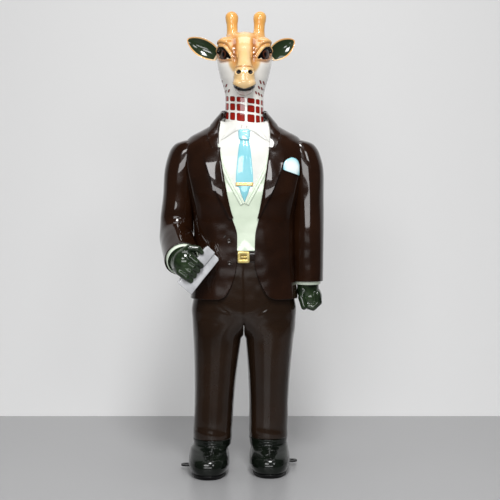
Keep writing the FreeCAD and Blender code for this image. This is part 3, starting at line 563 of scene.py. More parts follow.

# ---------------------------------------------------------------- tie and clip
# A pale blue tie, thick in the middle, with a snug four-in-hand knot. A slim gold bar clip crosses it low
# down.
tie_paint = lacquered("tie_blue", srgb(126, 196, 208), srgb(158, 214, 224), sag=0.15)
clip_level = up_torso(0.4965)
blade = glide([(up_torso(0.379), 1.0), (up_torso(0.43), 13.0), (up_torso(0.476), 22.5),
               (up_torso(0.484), 32.0),
               (up_torso(0.52), 33.0), (up_torso(0.66), 27.5), (up_torso(0.80), 18.5)], 70)


def blade_place(u, v):
    z, half = blade[round(v * 70)]
    across = 2 * u - 1
    swell = 3.6 * (1 - across * across) ** 0.5 if abs(across) < 1 else 0.0
    crease = 0.9 * math.exp(-((across - 0.25 * math.sin(v * 3)) / 0.14) ** 2) * v ** 2
    return on_front(0.5 + half * across, z, UNDER + 1.0 + swell - crease)


settle(sheet(24, 70, blade_place), "tie_blade_form", tie_paint, ("tie_blade",))
knot_rows = glide([(up_torso(0.795), 15.5, 2.0), (up_torso(0.80), 20.0, 8.0),
                   (up_torso(0.83), 23.0, 12.0),
                   (up_torso(0.862), 23.5, 12.0), (up_torso(0.872), 20.0, 6.0)], 20)


def knot_place(u, v):
    z, half, high = knot_rows[round(v * 20)]
    across = 2 * u - 1
    wrap = 1.0 * math.sin((z - knot_rows[0][0]) / 3.2 + across * 1.5)
    return on_front(-0.5 + half * across, z,
                    UNDER + 1.0 + (high + wrap) * math.sqrt(max(0.0, 1 - across ** 4)))


settle(sheet(24, 20, knot_place), "tie_knot_form", tie_paint, ("tie_knot",))
clip_paint = lacquered("clip_gold", srgb(214, 170, 92), srgb(240, 214, 150), roughness=(0.2, 0.32),
                       metallic=0.35)


def clip_place(u, v):
    across = 2 * u - 1
    z = clip_level + (2 * v - 1) * 6.5
    edge = (1 - (2 * v - 1) ** 4) ** 0.5 * (1 - across ** 8) ** 0.5
    return on_front(0.5 + 33.5 * across, z, UNDER + 4.2 + 2.4 * edge)


settle(sheet(40, 12, clip_place), "tie_clip_form", clip_paint, ("tie_clip",))

# ---------------------------------------------------------------- pocket square
# The folded corner of a silk square, moulded as a raised dome with a slanting lower edge and painted pale
# blue, fading to white in the middle.
def glazed(name, inner, outer, attribute, roughness=0.18):
    """Two sprayed colours that fade into each other by a value painted on the piece."""
    material = lacquered(name, inner, inner, roughness=(roughness, roughness + 0.08), sag=0.1)
    tree = material.node_tree
    mix = next(n for n in tree.nodes if n.bl_idname == "ShaderNodeMix")
    mask = value(tree, "ShaderNodeAttribute", attribute_name=attribute)
    ramp = value(tree, "ShaderNodeMapRange", interpolation_type="SMOOTHSTEP")
    tree.links.new(mask.outputs["Fac"], ramp.inputs["Value"])
    mix.inputs["B"].default_value = (*outer, 1.0)
    tree.links.new(ramp.outputs["Result"], mix.inputs["Factor"])
    return material


square_paint = glazed("square_blue", srgb(238, 248, 248), srgb(120, 200, 214), "edge")
square_low = [(150, up_torso(0.594)), (211, up_torso(0.556))]
square_high = glide([(148, up_torso(0.60)), (150, up_torso(0.635)), (160, up_torso(0.662)),
                     (172, up_torso(0.673)),
                     (181, up_torso(0.679)), (196, up_torso(0.672)), (207, up_torso(0.652)),
                     (212, up_torso(0.62)),
                     (212, up_torso(0.56))], 40)


def square_place(u, v):
    low = Vector(square_low[0]).lerp(Vector(square_low[1]), u)
    high = Vector(square_high[round(u * 40)])
    spot = low.lerp(high, v)
    rise = (1 - (2 * u - 1) ** 4) * min(1.0, (1 - v) * 5 + 0.1)
    fold = 0.7 * math.sin(9 * u) * v
    return on_front(spot.x, spot.y, 2.0 + 3.4 * math.sqrt(max(0.0, rise)) + fold)


square = sheet(40, 24, square_place)
edge_layer = square.verts.layers.float.new("edge")
for i, v in enumerate(square.verts):
    across, up = (i % 41) / 40, (i // 41) / 24
    v[edge_layer] = max(abs(2 * across - 1) ** 2.2, abs(up * 1.5 - 0.62) ** 1.8)
thicken(settle(square, "pocket_square_form", square_paint, ("pocket_square",)), 3.0,
        rim=0.8)

# ---------------------------------------------------------------- jacket buttons
# Two shallow domed buttons with a rim and four blind holes, glued to the right front edge. A small third one
# of the same kind closes the jacket above them.
button_paint = lacquered("button_brown", srgb(22, 14, 10), srgb(38, 26, 18), sag=0.0, mottle_scale=60.0)


def button(x, z, radius):
    seat = on_front(x, z, 0.0)
    ahead = (on_front(x + 4, z, 0.0) - on_front(x - 4, z, 0.0)).cross(
        on_front(x, z + 4, 0.0) - on_front(x, z - 4, 0.0)).normalized()
    profile = glide([(0.0, 2.6), (0.55, 2.7), (0.66, 3.6), (0.84, 4.0), (0.96, 3.2), (1.0, 1.6),
                     (0.98, 0.0)], 16)
    turn = ahead.to_track_quat("Z", "Y").to_matrix()

    def place(u, v):
        share, high = profile[round((1 - v) * 16)]
        angle = 2 * math.pi * u
        reach = share * radius
        spot = Vector((reach * math.cos(angle), reach * math.sin(angle), high))
        for k in range(4):
            hole = Vector((math.cos(k * math.pi / 2 + 0.8),
                           math.sin(k * math.pi / 2 + 0.8))) * radius * 0.3
            spot.z -= 1.8 * math.exp(-((spot.xy - hole).length / (radius * 0.11)) ** 4)
        return seat + turn @ spot

    return tube(32, 16, place)


for k, (x, share, radius) in enumerate(((-58, 0.11, 9.0), (-56, -0.04, 9.0), (-74, 0.143, 4.5))):
    settle(button(x, up_torso(share), radius), f"button_{k + 1}", button_paint,
           ("jacket_buttons",) if k < 2 else ())

# ---------------------------------------------------------------- trousers
# Both legs are one moulding each, joined at the centre seam, with soft folds at the crotch and a slight
# break over each shoe. The fly is closed and the front crease is only hinted at.
trouser_paint = lacquered("trouser_brown", srgb(29, 19, 12), srgb(39, 26, 17), sag=0.25, mottle_scale=5.0,
                         coat=0.7)
trouser_hem, trouser_top = (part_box("trousers_right")[i].z * 1000 for i in (0, 1))
crotch = trouser_hem + 455
hips = glide([
    (trouser_hem - 5, 204, 114, 4, 2.5), (crotch, 204, 114.5, 4, 2.5), (crotch + 45, 206, 118, 4, 2.5),
    (hem_level + 8, 198, 117, 2, 2.4), (belt_level, 184, 108, -2, 2.4),
    (trouser_top, 183, 107, -2, 2.4)], 60)


def leg_rows(hem_x, hem_y, side):
    hip_x = TRUNK_X + side * 101.5
    rows = []
    for share, swell in ((0.0, 0.0), (0.28, 0.06), (0.55, 0.3), (0.82, 0.72), (1.0, 1.0)):
        rows.append((trouser_hem + share * 455, between(hem_x, hip_x, share), between(hem_y, 4, share),
                     between(76, 100, swell), between(80, 108, swell)))
    rows.append((trouser_top, hip_x, 0, 101, 108))
    return glide(rows, 80)


def inside_hips(x, y, z):
    _, width, depth, mid_y, boxy = look_up(hips, z)
    return abs((x - TRUNK_X) / width) ** boxy + abs((y - mid_y) / depth) ** boxy < 1


def trouser_half(side, hem_x, hem_y):
    rows = leg_rows(hem_x, hem_y, side)
    levels = glide([(trouser_hem,), (trouser_top,)], 150)

    def place(u, v):
        z = levels[round(v * 150)][0]
        _, leg_x, leg_y, width, depth = look_up(rows, z)
        turn = 2 * math.pi * u
        c, s_ = math.cos(turn), math.sin(turn)
        px, py = rounded(turn, width, depth, 2.15)
        leg_reach = math.hypot(px, py)
        low, high = 20.0, 260.0
        for _ in range(14):
            trial = (low + high) / 2
            if inside_hips(leg_x + trial * c, leg_y + trial * s_, z):
                low = trial
            else:
                high = trial
        share = min(1.0, max(0.0, (z - (crotch - 70)) / 120))
        share = share * share * (3 - 2 * share)
        reach = between(leg_reach, low, share)
        if c * side < -1e-6:
            overlap = 9.0 * min(1.0, max(0.0, (z - (crotch - 6)) / 22)) + 0.3 * side
            reach = min(reach, (abs(leg_x - TRUNK_X) + overlap
                                - 0.045 * max(0.0, crotch - 6 - z)) / abs(c))
        front = max(0.0, -s_)
        crease = 1.1 * math.exp(-((turn - 1.5 * math.pi) / 0.05) ** 2) * min(1, max(0.0,
                                                                                    (crotch - 30
                                                                                     - z) / 120))
        fold_1 = math.exp(-((z - (crotch + 18 + 0.5 * (side * (reach * c + leg_x)))) / 8) ** 2)
        fold_2 = math.exp(-((z - (crotch - 14 + 0.95 * (side * (reach * c + leg_x)))) / 9) ** 2)
        near = math.exp(-((reach * c + leg_x) / 78) ** 2) * front
        brk = 1.8 * math.sin((z - trouser_hem) / 11
                             + 1.4 * c) * math.exp(-((z - trouser_hem - 22) / 30) ** 2)
        reach += crease - (3.0 * fold_1 + 2.4 * fold_2) * near + brk * (0.35 + 0.65 * front)
        return Vector((leg_x + reach * c, leg_y + reach * s_, z))

    return tube(96, 150, place)


for side, name, hem_x, hem_y in ((-1, "right", -126.0, -26.0), (1, "left", 94.0, 0.0)):
    settle(trouser_half(side, hem_x, hem_y), f"trouser_{name}", trouser_paint,
           (f"trousers_{name}",))

# ---------------------------------------------------------------- belt and buckle
# A dark belt shows only between the waistcoat and the trousers. Its plain square frame buckle is gold paint
# over the moulding, with a single prong across the window.
belt_paint = lacquered("belt_brown", srgb(18, 10, 6), srgb(28, 17, 11), sag=0.1, mottle_scale=40.0)
belt_low_z, belt_high_z = belt_level - 21.5, belt_level + 21.5


def belt_place(u, v):
    z = between(belt_low_z, belt_high_z, v)
    edge = 1.6 * (1 - abs(2 * v - 1) ** 6)
    return on_front(between(-36, 60, u), z, -11.0 + edge)


thicken(settle(sheet(60, 10, belt_place), "belt_front", belt_paint, ("belt",)), 2.5)
gold_paint = lacquered("buckle_gold", srgb(196, 172, 96), srgb(222, 204, 140), roughness=(0.22, 0.36),
                       metallic=0.55,
                       mottle_scale=70.0, coat=0.6)
BUCKLE_X, BUCKLE = -3.0, 23.0


def buckle_place(u, v):
    """A square frame: u runs round it, v across its rim from the outside in."""
    turn = 2 * math.pi * u
    outer = rounded(turn, BUCKLE, BUCKLE, 9)
    inner = rounded(turn, 12.0, 9.5, 7)
    share = min(1.0, max(0.0, (v - 0.15) / 0.7))
    x, z = between(outer[0], inner[0], share), between(outer[1], inner[1], share)
    high = 5.5 * math.sin(math.pi * v) ** 0.35 - 2.0
    return on_front(BUCKLE_X + x, belt_level + z, -9.0 + high)


buckle = tube(96, 14, buckle_place, capped=False)
thicken(settle(buckle, "buckle_frame", gold_paint, ("belt_buckle",)), 1.6)


def prong_place(u, v):
    turn = 2 * math.pi * u
    x = between(-13, 15, v)
    thick = 2.1 * (1 - (2 * v - 1) ** 8) ** 0.5 + 0.05
    spot = on_front(BUCKLE_X + x, belt_level, -6.2)
    return spot + Vector((0, thick * math.sin(turn), thick * math.cos(turn)))


settle(tube(16, 24, prong_place), "buckle_prong", gold_paint)
plate_paint = lacquered("buckle_well", srgb(120, 98, 48), srgb(150, 126, 70), roughness=(0.3, 0.5),
                        metallic=0.5)


def well_place(u, v):
    return on_front(BUCKLE_X + between(-14, 14, u), belt_level + between(-11, 11, v), -8.6)


thicken(settle(sheet(12, 12, well_place), "buckle_well_plate", plate_paint), 1.2)

# ---------------------------------------------------------------- cuffs
# A band of shirt cuff shows below each sleeve, sprayed pale green-white like the waistcoat.
cuff_paint = lacquered("cuff_white", srgb(210, 224, 202), srgb(226, 236, 220), sag=0.1)


def cuff(start, end, radius, wall):
    axis = (end - start).normalized()
    across = axis.orthogonal().normalized()
    ring = [(radius, 0.0), (radius, 0.94), (radius - 0.8, 1.0), (radius - wall + 0.8, 1.0),
            (radius - wall, 0.94),
            (radius - wall, 0.0)]

    def place(u, v):
        reach, share = ring[round(v * 5)]
        turn = 2 * math.pi * u
        return start.lerp(end, share) + (across * math.cos(turn)
                                         + axis.cross(across) * math.sin(turn)) * reach

    return tube(72, 5, place, capped=False)


left_wrist = Vector((249, -8, left_sleeve_end))
down = Vector((0, 0, -1))
settle(cuff(left_wrist - down * 16, left_wrist + down * 13, 50.0, 4.0), "cuff_left_band", cuff_paint,
       ("cuff_left",))
settle(cuff(wrist - wrist_line * 16, wrist + wrist_line * 13, 62.0, 4.0), "cuff_right_band", cuff_paint,
       ("cuff_right",))

# ---------------------------------------------------------------- hands
# Both hands are closed fists in dark green gloves, cast with the creases between the fingers. The left
# hangs with its thumb forward, and the right closes round the newspaper.
glove_paint = lacquered("glove_green", srgb(16, 24, 15), srgb(42, 58, 34), sag=0.1, mottle_scale=22.0)


def blob(bm, centre, radii, turn=Matrix.Identity(4)):
    place = Matrix.Translation(centre) @ turn @ Matrix.Diagonal((*radii, 1.0))
    bmesh.ops.create_uvsphere(bm, u_segments=32, v_segments=20, radius=1.0, matrix=place)


def sausage(bm, spots, radii):
    """Round lengths joined at balls, tapering from spot to spot."""
    spots = [Vector(spot) for spot in spots]
    for a, b, r1, r2 in zip(spots, spots[1:], radii, radii[1:]):
        turn = (b - a).to_track_quat("Z", "Y").to_matrix().to_4x4()
        bmesh.ops.create_cone(bm, cap_ends=True, segments=28, radius1=r1, radius2=r2,
                              depth=(b - a).length,
                              matrix=Matrix.Translation((a + b) / 2) @ turn)
    for spot, radius in zip(spots, radii):
        blob(bm, spot, (radius, radius, radius))


def melt(bm, voxel, rounds):
    """Runs overlapping forms together into one skin and eases the joins."""
    loose = bpy.data.meshes.new("loose")
    bm.to_mesh(loose)
    bm.free()
    holder = bpy.data.objects.new("loose", loose)
    bpy.context.scene.collection.objects.link(holder)
    join = holder.modifiers.new("join", "REMESH")
    join.mode, join.voxel_size = "VOXEL", voxel
    ease = holder.modifiers.new("ease", "SMOOTH")
    ease.factor, ease.iterations = 0.5, rounds
    skin = bmesh.new()
    skin.from_object(holder, bpy.context.evaluated_depsgraph_get())
    bpy.data.objects.remove(holder)
    bpy.data.meshes.remove(loose)
    skin.normal_update()
    return skin


hand_top = left_wrist + down * 13
left_hand = bmesh.new()
sausage(left_hand, [left_wrist - down * 6, hand_top + down * 26], [43, 43])
blob(left_hand, hand_top + Vector((10, 2, -52)), (46, 44, 50))
for i in range(4):
    y = hand_top.y - 33 + 20.5 * i
    length = (0, 3, 1, -5)[i]
    sausage(left_hand, [(284, y, hand_top.z - 36), (289, y, hand_top.z - 68 - length),
                        (268, y, hand_top.z - 89 - length),
                        (245, y, hand_top.z - 84)], [14, 14, 13, 11.5])
sausage(left_hand, [(230, hand_top.y - 22, hand_top.z - 14), (222, hand_top.y - 36, hand_top.z - 50),
                    (232, hand_top.y - 42, hand_top.z - 86)], [15.0, 13.5, 12.0])
settle(melt(left_hand, 2.0, 5), "hand_left_form", glove_paint, ("hand_left",))

right_hand = bmesh.new()
sausage(right_hand, [wrist - wrist_line * 6, wrist + wrist_line * 40], [54, 50])
blob(right_hand, Vector((-224, -206, 836)), (46, 40, 50))
for i in range(4):
    knuckle = Vector((-202 - 13.0 * i, -230 + 1.0 * i, 856 - 18.5 * i))
    sausage(right_hand, [knuckle - Vector((12, -22, -8)), knuckle, knuckle + Vector((25, -2, -20)),
                         knuckle + Vector((40, 16, -34))], [14.5, 14.5, 13.0, 11.5])
sausage(right_hand, [(-232, -200, 872), (-206, -216, 888), (-172, -216, 886), (-160, -206, 872)],
        [15, 14, 12, 10])
settle(melt(right_hand, 2.0, 5), "hand_right_form", glove_paint, ("hand_right",))

# ---------------------------------------------------------------- newspaper
# A newspaper folded into a thick wad, its folds rounded on one long side and its ends stepped. It is cast
# solid and sprayed silver grey, with no print on it.
paper_paint = lacquered("paper_grey", srgb(164, 165, 168), srgb(210, 211, 214), roughness=(0.2, 0.35),
                        sag=0.5,
                        mottle_scale=16.0)
paper_middle = wrist + Vector((60, -34, -38))
PAPER_TURN = Matrix.Rotation(math.radians(22), 3, "Z") @ Matrix.Rotation(math.radians(-49), 3, "Y")
for k, (low, high, front, back, long_low, long_high) in enumerate((
        (-38, 30, -18, -9.5, -90, 78), (-36, 32, -9.5, -1, -86, 84), (-38, 30, -1, 8, -84, 80),
        (-6, 34, -24, -17, -30, 88))):
    def leaf_place(u, v, low=low, high=high, front=front, back=back, long_low=long_low,
                   long_high=long_high):
        px, pz = rounded(2 * math.pi * u, (back - front) / 2, (high - low) / 2, 5)
        share = min(1.0, max(0.0, (v - 0.04) / 0.92))
        shrink = 0.0 if v in (0.0, 1.0) else 1.0
        wave = 0.8 * math.sin(share * 9 + 1.3 * pz / 20)
        along = between(long_low, long_high, share)
        small = 1 - 0.25 * (1 - shrink)
        return paper_middle + PAPER_TURN @ Vector((along, (front + back) / 2 + px * small + wave,
                                                   (low + high) / 2 + pz * (1 - 0.03 * (1 - shrink))))

    settle(tube(64, 40, leaf_place), f"newspaper_leaf_{k + 1}", paper_paint,
           ("newspaper",) if k == 0 else ())

# ---------------------------------------------------------------- shoes
# Round-toed lace-up shoes, cast under the trouser hems. Each has a raised quarter round the heel, open over
# the tongue in a V with four laces, and stands on a separate sole with a welt.
shoe_paint = lacquered("shoe_black_green", srgb(9, 12, 9), srgb(18, 24, 17), sag=0.1, mottle_scale=20.0,
                       coat=0.55)
sole_paint = lacquered("sole_black", srgb(10, 10, 10), srgb(20, 20, 20), roughness=(0.4, 0.6), coat=0.2,
                       sag=0.0)
SOLE_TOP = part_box("sole_right")[1].z * 1000
for name, foot_x, foot_y, hem_x, hem_y in (("right", -138.0, -54.0, -126.0, -26.0),
                                           ("left", 98.0, -28.0, 94.0, 0.0)):
    shoe_rows = glide([
        (SOLE_TOP, foot_x, foot_y, 66.0, 127.0, 2.5), (SOLE_TOP + 8, foot_x, foot_y, 72.5, 134.0, 2.5),
        (SOLE_TOP + 26, foot_x, foot_y, 77.0, 137.0, 2.5),
        (SOLE_TOP + 52, foot_x, foot_y + 3, 76.0, 131.0, 2.4),
        (SOLE_TOP + 68, foot_x, foot_y + 12, 73.0, 115.0, 2.25),
        (SOLE_TOP + 80, foot_x, foot_y + 22, 71.0, 98.0, 2.2),
        (SOLE_TOP + 98, hem_x, hem_y + 3, 71.0, 79.0, 2.15),
        (trouser_hem, hem_x, hem_y, 74.0, 78.0, 2.15)], 60)

    def shoe_point(turn, z, out, rows=shoe_rows):
        _, x, y, width, depth, boxy = look_up(rows, z)
        px, py = rounded(turn, width + out, depth + out, boxy)
        return Vector((x + px, y + py, z))

    def upper_place(u, v, rows=shoe_rows):
        z = rows[round(v * 60)][0]
        turn = 2 * math.pi * u
        front = max(0.0, -math.sin(turn))
        cap_line = 1.2 * math.exp(-((z - SOLE_TOP - 60 + 20 * (1 - front)) / 2.2) ** 2) * front ** 3
        return shoe_point(turn, z, -cap_line)

    settle(tube(96, 60, upper_place), f"shoe_{name}_upper", shoe_paint, (f"shoe_{name}",))

    def throat(z):
        """Half the angle left open over the tongue at this height."""
        return math.radians(between(7, 25, min(1, max(0, (z - SOLE_TOP - 58) / 60))))

    def quarter_place(u, v):
        z = between(SOLE_TOP + 24, trouser_hem - 1.5, v)
        low_edge = math.radians(62 * max(0.0, 1 - v * 2.6) ** 1.3)
        half = throat(z) + low_edge
        turn = between(-math.pi / 2 + half, 1.5 * math.pi - half, u)
        return shoe_point(turn, z, 2.6)

    quarter = settle(sheet(120, 36, quarter_place), f"shoe_{name}_quarter", shoe_paint,
                     flip=False)
    thicken(quarter, 3.2, rim=1.0)

    def tongue_place(u, v):
        z = between(SOLE_TOP + 60, trouser_hem - 2, v)
        half = throat(z) + 0.08
        return shoe_point(-math.pi / 2 + between(-half, half, u), z, 1.5 + 1.6 * math.sin(math.pi * u))

    tongue = settle(sheet(16, 30, tongue_place), f"shoe_{name}_tongue", shoe_paint,
                    (f"tongue_{name}",))
    thicken(tongue, 2.5, rim=0.6)
    for k in range(4):
        z = SOLE_TOP + 72 + 11.5 * k

        def lace_place(u, v, z=z, k=k):
            half = throat(z) + 0.11
            turn = -math.pi / 2 + between(-half, half, v)
            lean = 2.5 * (2 * v - 1) * (-1 if k % 2 else 1)
            spot = shoe_point(turn, z + lean, 2.9 + 1.2 * math.sin(math.pi * v))
            ring = 2 * math.pi * u
            thick = 2.3 * (1 - (2 * v - 1) ** 8) ** 0.5 + 0.05
            return spot + Vector((0, thick * math.cos(ring), thick * math.sin(ring)))

        settle(tube(12, 20, lace_place), f"shoe_{name}_lace_{k + 1}", shoe_paint)

    def sole_place(u, v, foot_x=foot_x, foot_y=foot_y):
        rows = [(63.5, 124.5, 0.0), (65.0, 126.0, 1.2), (65.5, 126.5, SOLE_TOP - 5.5),
                (67.8, 129.0, SOLE_TOP - 4.6),
                (68.2, 129.4, SOLE_TOP - 1.0), (66.5, 127.8, SOLE_TOP)]
        width, depth, z = rows[round(v * 5)]
        px, py = rounded(2 * math.pi * u, width, depth, 2.5)
        return Vector((foot_x + px, foot_y + py, z))

    settle(tube(120, 5, sole_place), f"sole_{name}_form", sole_paint, (f"sole_{name}",))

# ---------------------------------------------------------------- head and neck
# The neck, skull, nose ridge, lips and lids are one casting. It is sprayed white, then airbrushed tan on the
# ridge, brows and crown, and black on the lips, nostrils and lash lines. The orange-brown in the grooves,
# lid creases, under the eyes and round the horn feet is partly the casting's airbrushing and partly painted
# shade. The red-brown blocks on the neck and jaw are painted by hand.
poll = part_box("head_shell")[1].z * 1000
neck_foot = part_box("head_shell")[0].z * 1000


def up_head(share):
    """A level on the head, by share of the way from the jaw, 240 below the crown."""
    return poll - 240 + 240 * share


skull = glide([
    (neck_foot, 83, 83, 11), (neck_level - 10, 76.5, 79, 9), (up_head(-0.06), 75, 78, 6),
    (up_head(0.08), 81, 86, 1),
    (up_head(0.25), 94, 97, -8), (up_head(0.46), 105, 107, -14), (up_head(0.66), 108, 106, -13),
    (up_head(0.83), 90, 92, -6), (up_head(0.935), 62, 69, -1), (poll - 4, 32, 42, 2)], 70)


def skull_place(u, v):
    z, width, depth, y = skull[round(v * 70)]
    px, py = rounded(2 * math.pi * u, width, depth, 2.05)
    return Vector((px, y + py, z))


head = tube(80, 70, skull_place)
ridge = [((0, -42, up_head(0.875)), 25), ((0, -72, up_head(0.78)), 25), ((0, -100, up_head(0.62)), 26),
         ((0, -118, up_head(0.46)), 29), ((0, -130, up_head(0.33)), 34)]
sausage(head, [spot for spot, _ in ridge], [radius for _, radius in ridge])
snout = [((0, -120, up_head(0.32)), 38), ((0, -127, up_head(0.235)), 41), ((0, -127, up_head(0.145)), 42)]
sausage(head, [spot for spot, _ in snout], [radius for _, radius in snout])
blob(head, Vector((0, -90, up_head(0.05))), (36, 50, 27))
for side in (-1, 1):
    blob(head, Vector((side * 19, -130, up_head(0.11))), (26, 36, 24))
    blob(head, Vector((side * 40, -54, up_head(0.86))), (19, 20, 17))
    blob(head, Vector((side * 66, -58, up_head(0.79))), (37, 34, 24))
for x, side in ((-47, -1), (55, 1)):
    sausage(head, [(x, 4, up_head(0.72)), (x, 3, up_head(1.0))], [38, 21])
skin = melt(head, 2.6, 7)
EYE_TURN = 51.0
EYE_Z, EYE_LEAN = up_head(0.595), math.radians(23)


def on_lid(spot, side):
    """Where a point lies on the eye's almond: along it from the nose, and above its middle line."""
    turn = math.degrees(math.atan2(side * spot.x, -(spot.y + 13)))
    s_, z = (turn - EYE_TURN) * 1.86, spot.z - EYE_Z
    return (s_ * math.cos(EYE_LEAN) + z * math.sin(EYE_LEAN),
            z * math.cos(EYE_LEAN) - s_ * math.sin(EYE_LEAN))


def almond(along, above):
    """Distance outside the almond in millimetres, negative inside it."""
    skewed = along - 9.0 * (1 - (along / 47.0) ** 2) if abs(along) < 47 else along
    share = min(1.0, abs(skewed) / 47.0)
    high = 23.0 * (1 - share ** 2.2) ** 0.9 if above > 0 else 20.0 * (1 - share ** 1.8)
    return max(abs(above) - high, abs(along) - 46.0) * (0.85 if abs(along) < 46 else 1.0)


def near(distance, width):
    return math.exp(-(distance / width) ** 2)


def smooth(low, high, at):
    share = min(1.0, max(0.0, (at - low) / (high - low)))
    return share * share * (3 - 2 * share)


nostrils = [Vector((side * 23.0 + 1, 0, up_head(0.285))) for side in (-1, 1)]
names = ("tan", "orange", "shade", "black", "patch")
layers = {name: skin.verts.layers.float.new(name) for name in names}
block_turns = [(-63.7, 12.0), (-36.3, 9.2), (-10.4, 11.9), (19.3, 11.0), (42.0, 7.8), (64.0, 9.0)]
block_turns += [(64 + 25.8 * k, 9.8) for k in range(1, 9)]
block_rows = ((1461, 1441), (1434, 1407), (1399, 1368))
block_rows = tuple((neck_level - 1410 + high, neck_level - 1410 + low) for high, low in block_rows)
dashes = [(62, 1519, 7), (75, 1517, 7), (87, 1514, 6), (56, 1499, 6), (67, 1496, 6), (78, 1491, 6),
          (45, 1479, 6),
          (56, 1475, 6), (67, 1470, 6), (-87, 1523, 6), (-70, 1507, 6), (-82, 1504, 6), (-60, 1487, 6),
          (-73, 1486, 6)]


def outside_block(x, z, half_x, half_z, corner):
    """Distance outside a round-cornered block."""
    px, pz = abs(x) - half_x + corner, abs(z) - half_z + corner
    return math.hypot(max(px, 0), max(pz, 0)) + min(max(px, pz), 0) - corner


def painted_block(spot):
    """Distance outside the nearest painted block of the neck and jaw."""
    best = 9.0
    turn = math.degrees(math.atan2(spot.x, -(spot.y - 8)))
    lean = -9.0 * math.sin(math.radians(turn))
    if spot.z < up_head(-0.03):
        for k, (high, low) in enumerate(block_rows):
            dip = 8.0 * math.cos(math.radians(turn)) - 8.0 if k == 2 else 0.0
            middle_z = (high + low - dip) / 2 + lean
            for centre, half in block_turns:
                off = (turn - centre + 180) % 360 - 180
                if abs(off) < 30:
                    best = min(best, outside_block(off * 1.36, spot.z - middle_z, half * 1.36,
                                                   (high - low + dip) / 2, 5.5))
    if spot.z > up_head(-0.07) and spot.y < -10:
        for x, z, half_z in dashes:
            off_x, off_z = spot.x - x, spot.z - z - (neck_level - 1410)
            if abs(off_x) < 14 and abs(off_z) < 16:
                slant = math.copysign(0.35, x)
                best = min(best, outside_block(off_x + slant * off_z, off_z, 3.4, half_z, 3.0))
    return best


for v in skin.verts:
    spot, side = v.co.copy(), math.copysign(1, v.co.x)
    along, above = on_lid(spot, side)
    lid = almond(along, above) if spot.y < 10 and abs(spot.z - EYE_Z) < 75 and abs(spot.x) > 26 else 40.0
    push = 0.0
    if lid < 40:
        upper = smooth(-4, 4, above + 0.15 * along)
        push += -9.0 * smooth(1.2, -1.6, lid)
        push += 5.5 * near(lid - 5.5, 5.0) * upper + 2.6 * near(lid - 3.6, 3.6) * (1 - upper)
        push += -2.2 * near(lid - 14.5, 2.6) * upper + 3.2 * near(lid - 22, 6.5) * upper
        push += -1.2 * near(lid - 10, 3.0) * (1 - upper)
    ridge_side = near(abs(spot.x) - 33, 8) * smooth(up_head(0.34), up_head(0.5),
                                                    spot.z) * smooth(-30, -55, spot.y)
    push += -2.5 * ridge_side * smooth(up_head(0.95), up_head(0.75), spot.z)
    fold = near(spot.z - up_head(0.375) + 0.002 * spot.x ** 2, 2.6) * smooth(40, 30,
                                                                             abs(spot.x)) * (spot.y < -90)
    push += -2.4 * fold
    hole = min((math.hypot(spot.x - n.x, (spot.z - n.z) * 1.15) for n in nostrils))
    if spot.y < -120 and hole < 30:
        push += -12.0 * smooth(11.0, 5.0, hole) + 2.0 * near(hole - 11, 3.4)
    mouth = spot.z - (up_head(0.012) + 0.0085 * spot.x ** 2)
    on_snout = spot.y < -92 and abs(spot.x) < 50
    if on_snout:
        push += -2.6 * near(mouth, 2.4) * smooth(50, 42, abs(spot.x)) * smooth(-92, -100, spot.y)
    v.co += v.normal * push
    ridge_tan = smooth(58, 28, abs(spot.x)) * smooth(up_head(0.18), up_head(0.42),
                                                     spot.z) * smooth(-30, -60, spot.y)
    snout_tan = smooth(-96, -108, spot.y) * smooth(up_head(0.0), up_head(0.04), spot.z)
    crown_tan = smooth(up_head(0.66), up_head(0.76),
                       spot.z + 0.10 * max(0, 60 - abs(spot.x)) - 0.25 * max(0, spot.y))
    lid_tan = smooth(34, 20, lid) * smooth(-8, 12, above + 0.2 * along) * (lid < 40)
    nape_tan = smooth(30, 70, spot.y) * smooth(up_head(0.15), up_head(0.5), spot.z)
    v[layers["tan"]] = max(ridge_tan, snout_tan, crown_tan, lid_tan, nape_tan)
    v[layers["orange"]] = max(crown_tan * (1 - 0.8 * near(spot.x, 24)), 0.6 * lid_tan, nape_tan)
    # Painted shade over the real airbrushing: orange-brown beside the ridge, under the eyes, in the lid
    # crease, round the horn feet and in the muzzle fold.
    beside = near(abs(spot.x) - 37, 13) * smooth(up_head(0.26), up_head(0.56), spot.z) * smooth(-20, -50,
                                                                                                spot.y)
    beside *= smooth(up_head(1.0), up_head(0.78), spot.z)
    under_eye = 0.75 * near(lid - 2, 11) * smooth(6, -10, above) * (lid < 40)
    crease = 0.8 * near(lid - 14.5, 3.4) * smooth(-4, 8, above) * (lid < 40)
    horn_foot = 0.7 * near(spot.z - up_head(0.80), 9) * near(abs(spot.x) - 48, 26) * (spot.y < 0)
    v[layers["shade"]] = min(1.0, max(beside, under_eye, crease, horn_foot, 0.9 * fold))
    lip = 9.0
    if on_snout:
        lip = max(-mouth - 6.5, mouth - 5.5 + 2.5 * near(spot.x, 9), abs(spot.x) - 46, spot.y + 100)
    lash = abs(lid - 0.4) - (2.2 if above + 0.2 * along > 0 else 0.9) if lid < 40 else 9.0
    nostril_black = hole - 9.2 if spot.y < -120 else 9.0
    v[layers["black"]] = min(lip, lash, nostril_black)
    v[layers["patch"]] = painted_block(spot)


def cover(tree, below, colour, mask):
    """Sprays a colour over what is below it, by a mask."""
    mix = tree.nodes.new("ShaderNodeMix")
    mix.data_type = "RGBA"
    tree.links.new(mask, mix.inputs["Factor"])
    tree.links.new(below, mix.inputs["A"])
    mix.inputs["B"].default_value = (*colour, 1.0)
    return mix.outputs["Result"]


def painted(tree, name, low, high):
    """A mask that goes from 0 to 1 as the value called name goes from low to high."""
    given = value(tree, "ShaderNodeAttribute", attribute_name=name)
    ramp = value(tree, "ShaderNodeMapRange", interpolation_type="SMOOTHSTEP")
    ramp.inputs["From Min"].default_value, ramp.inputs["From Max"].default_value = low, high
    tree.links.new(given.outputs["Fac"], ramp.inputs["Value"])
    return ramp.outputs["Result"]


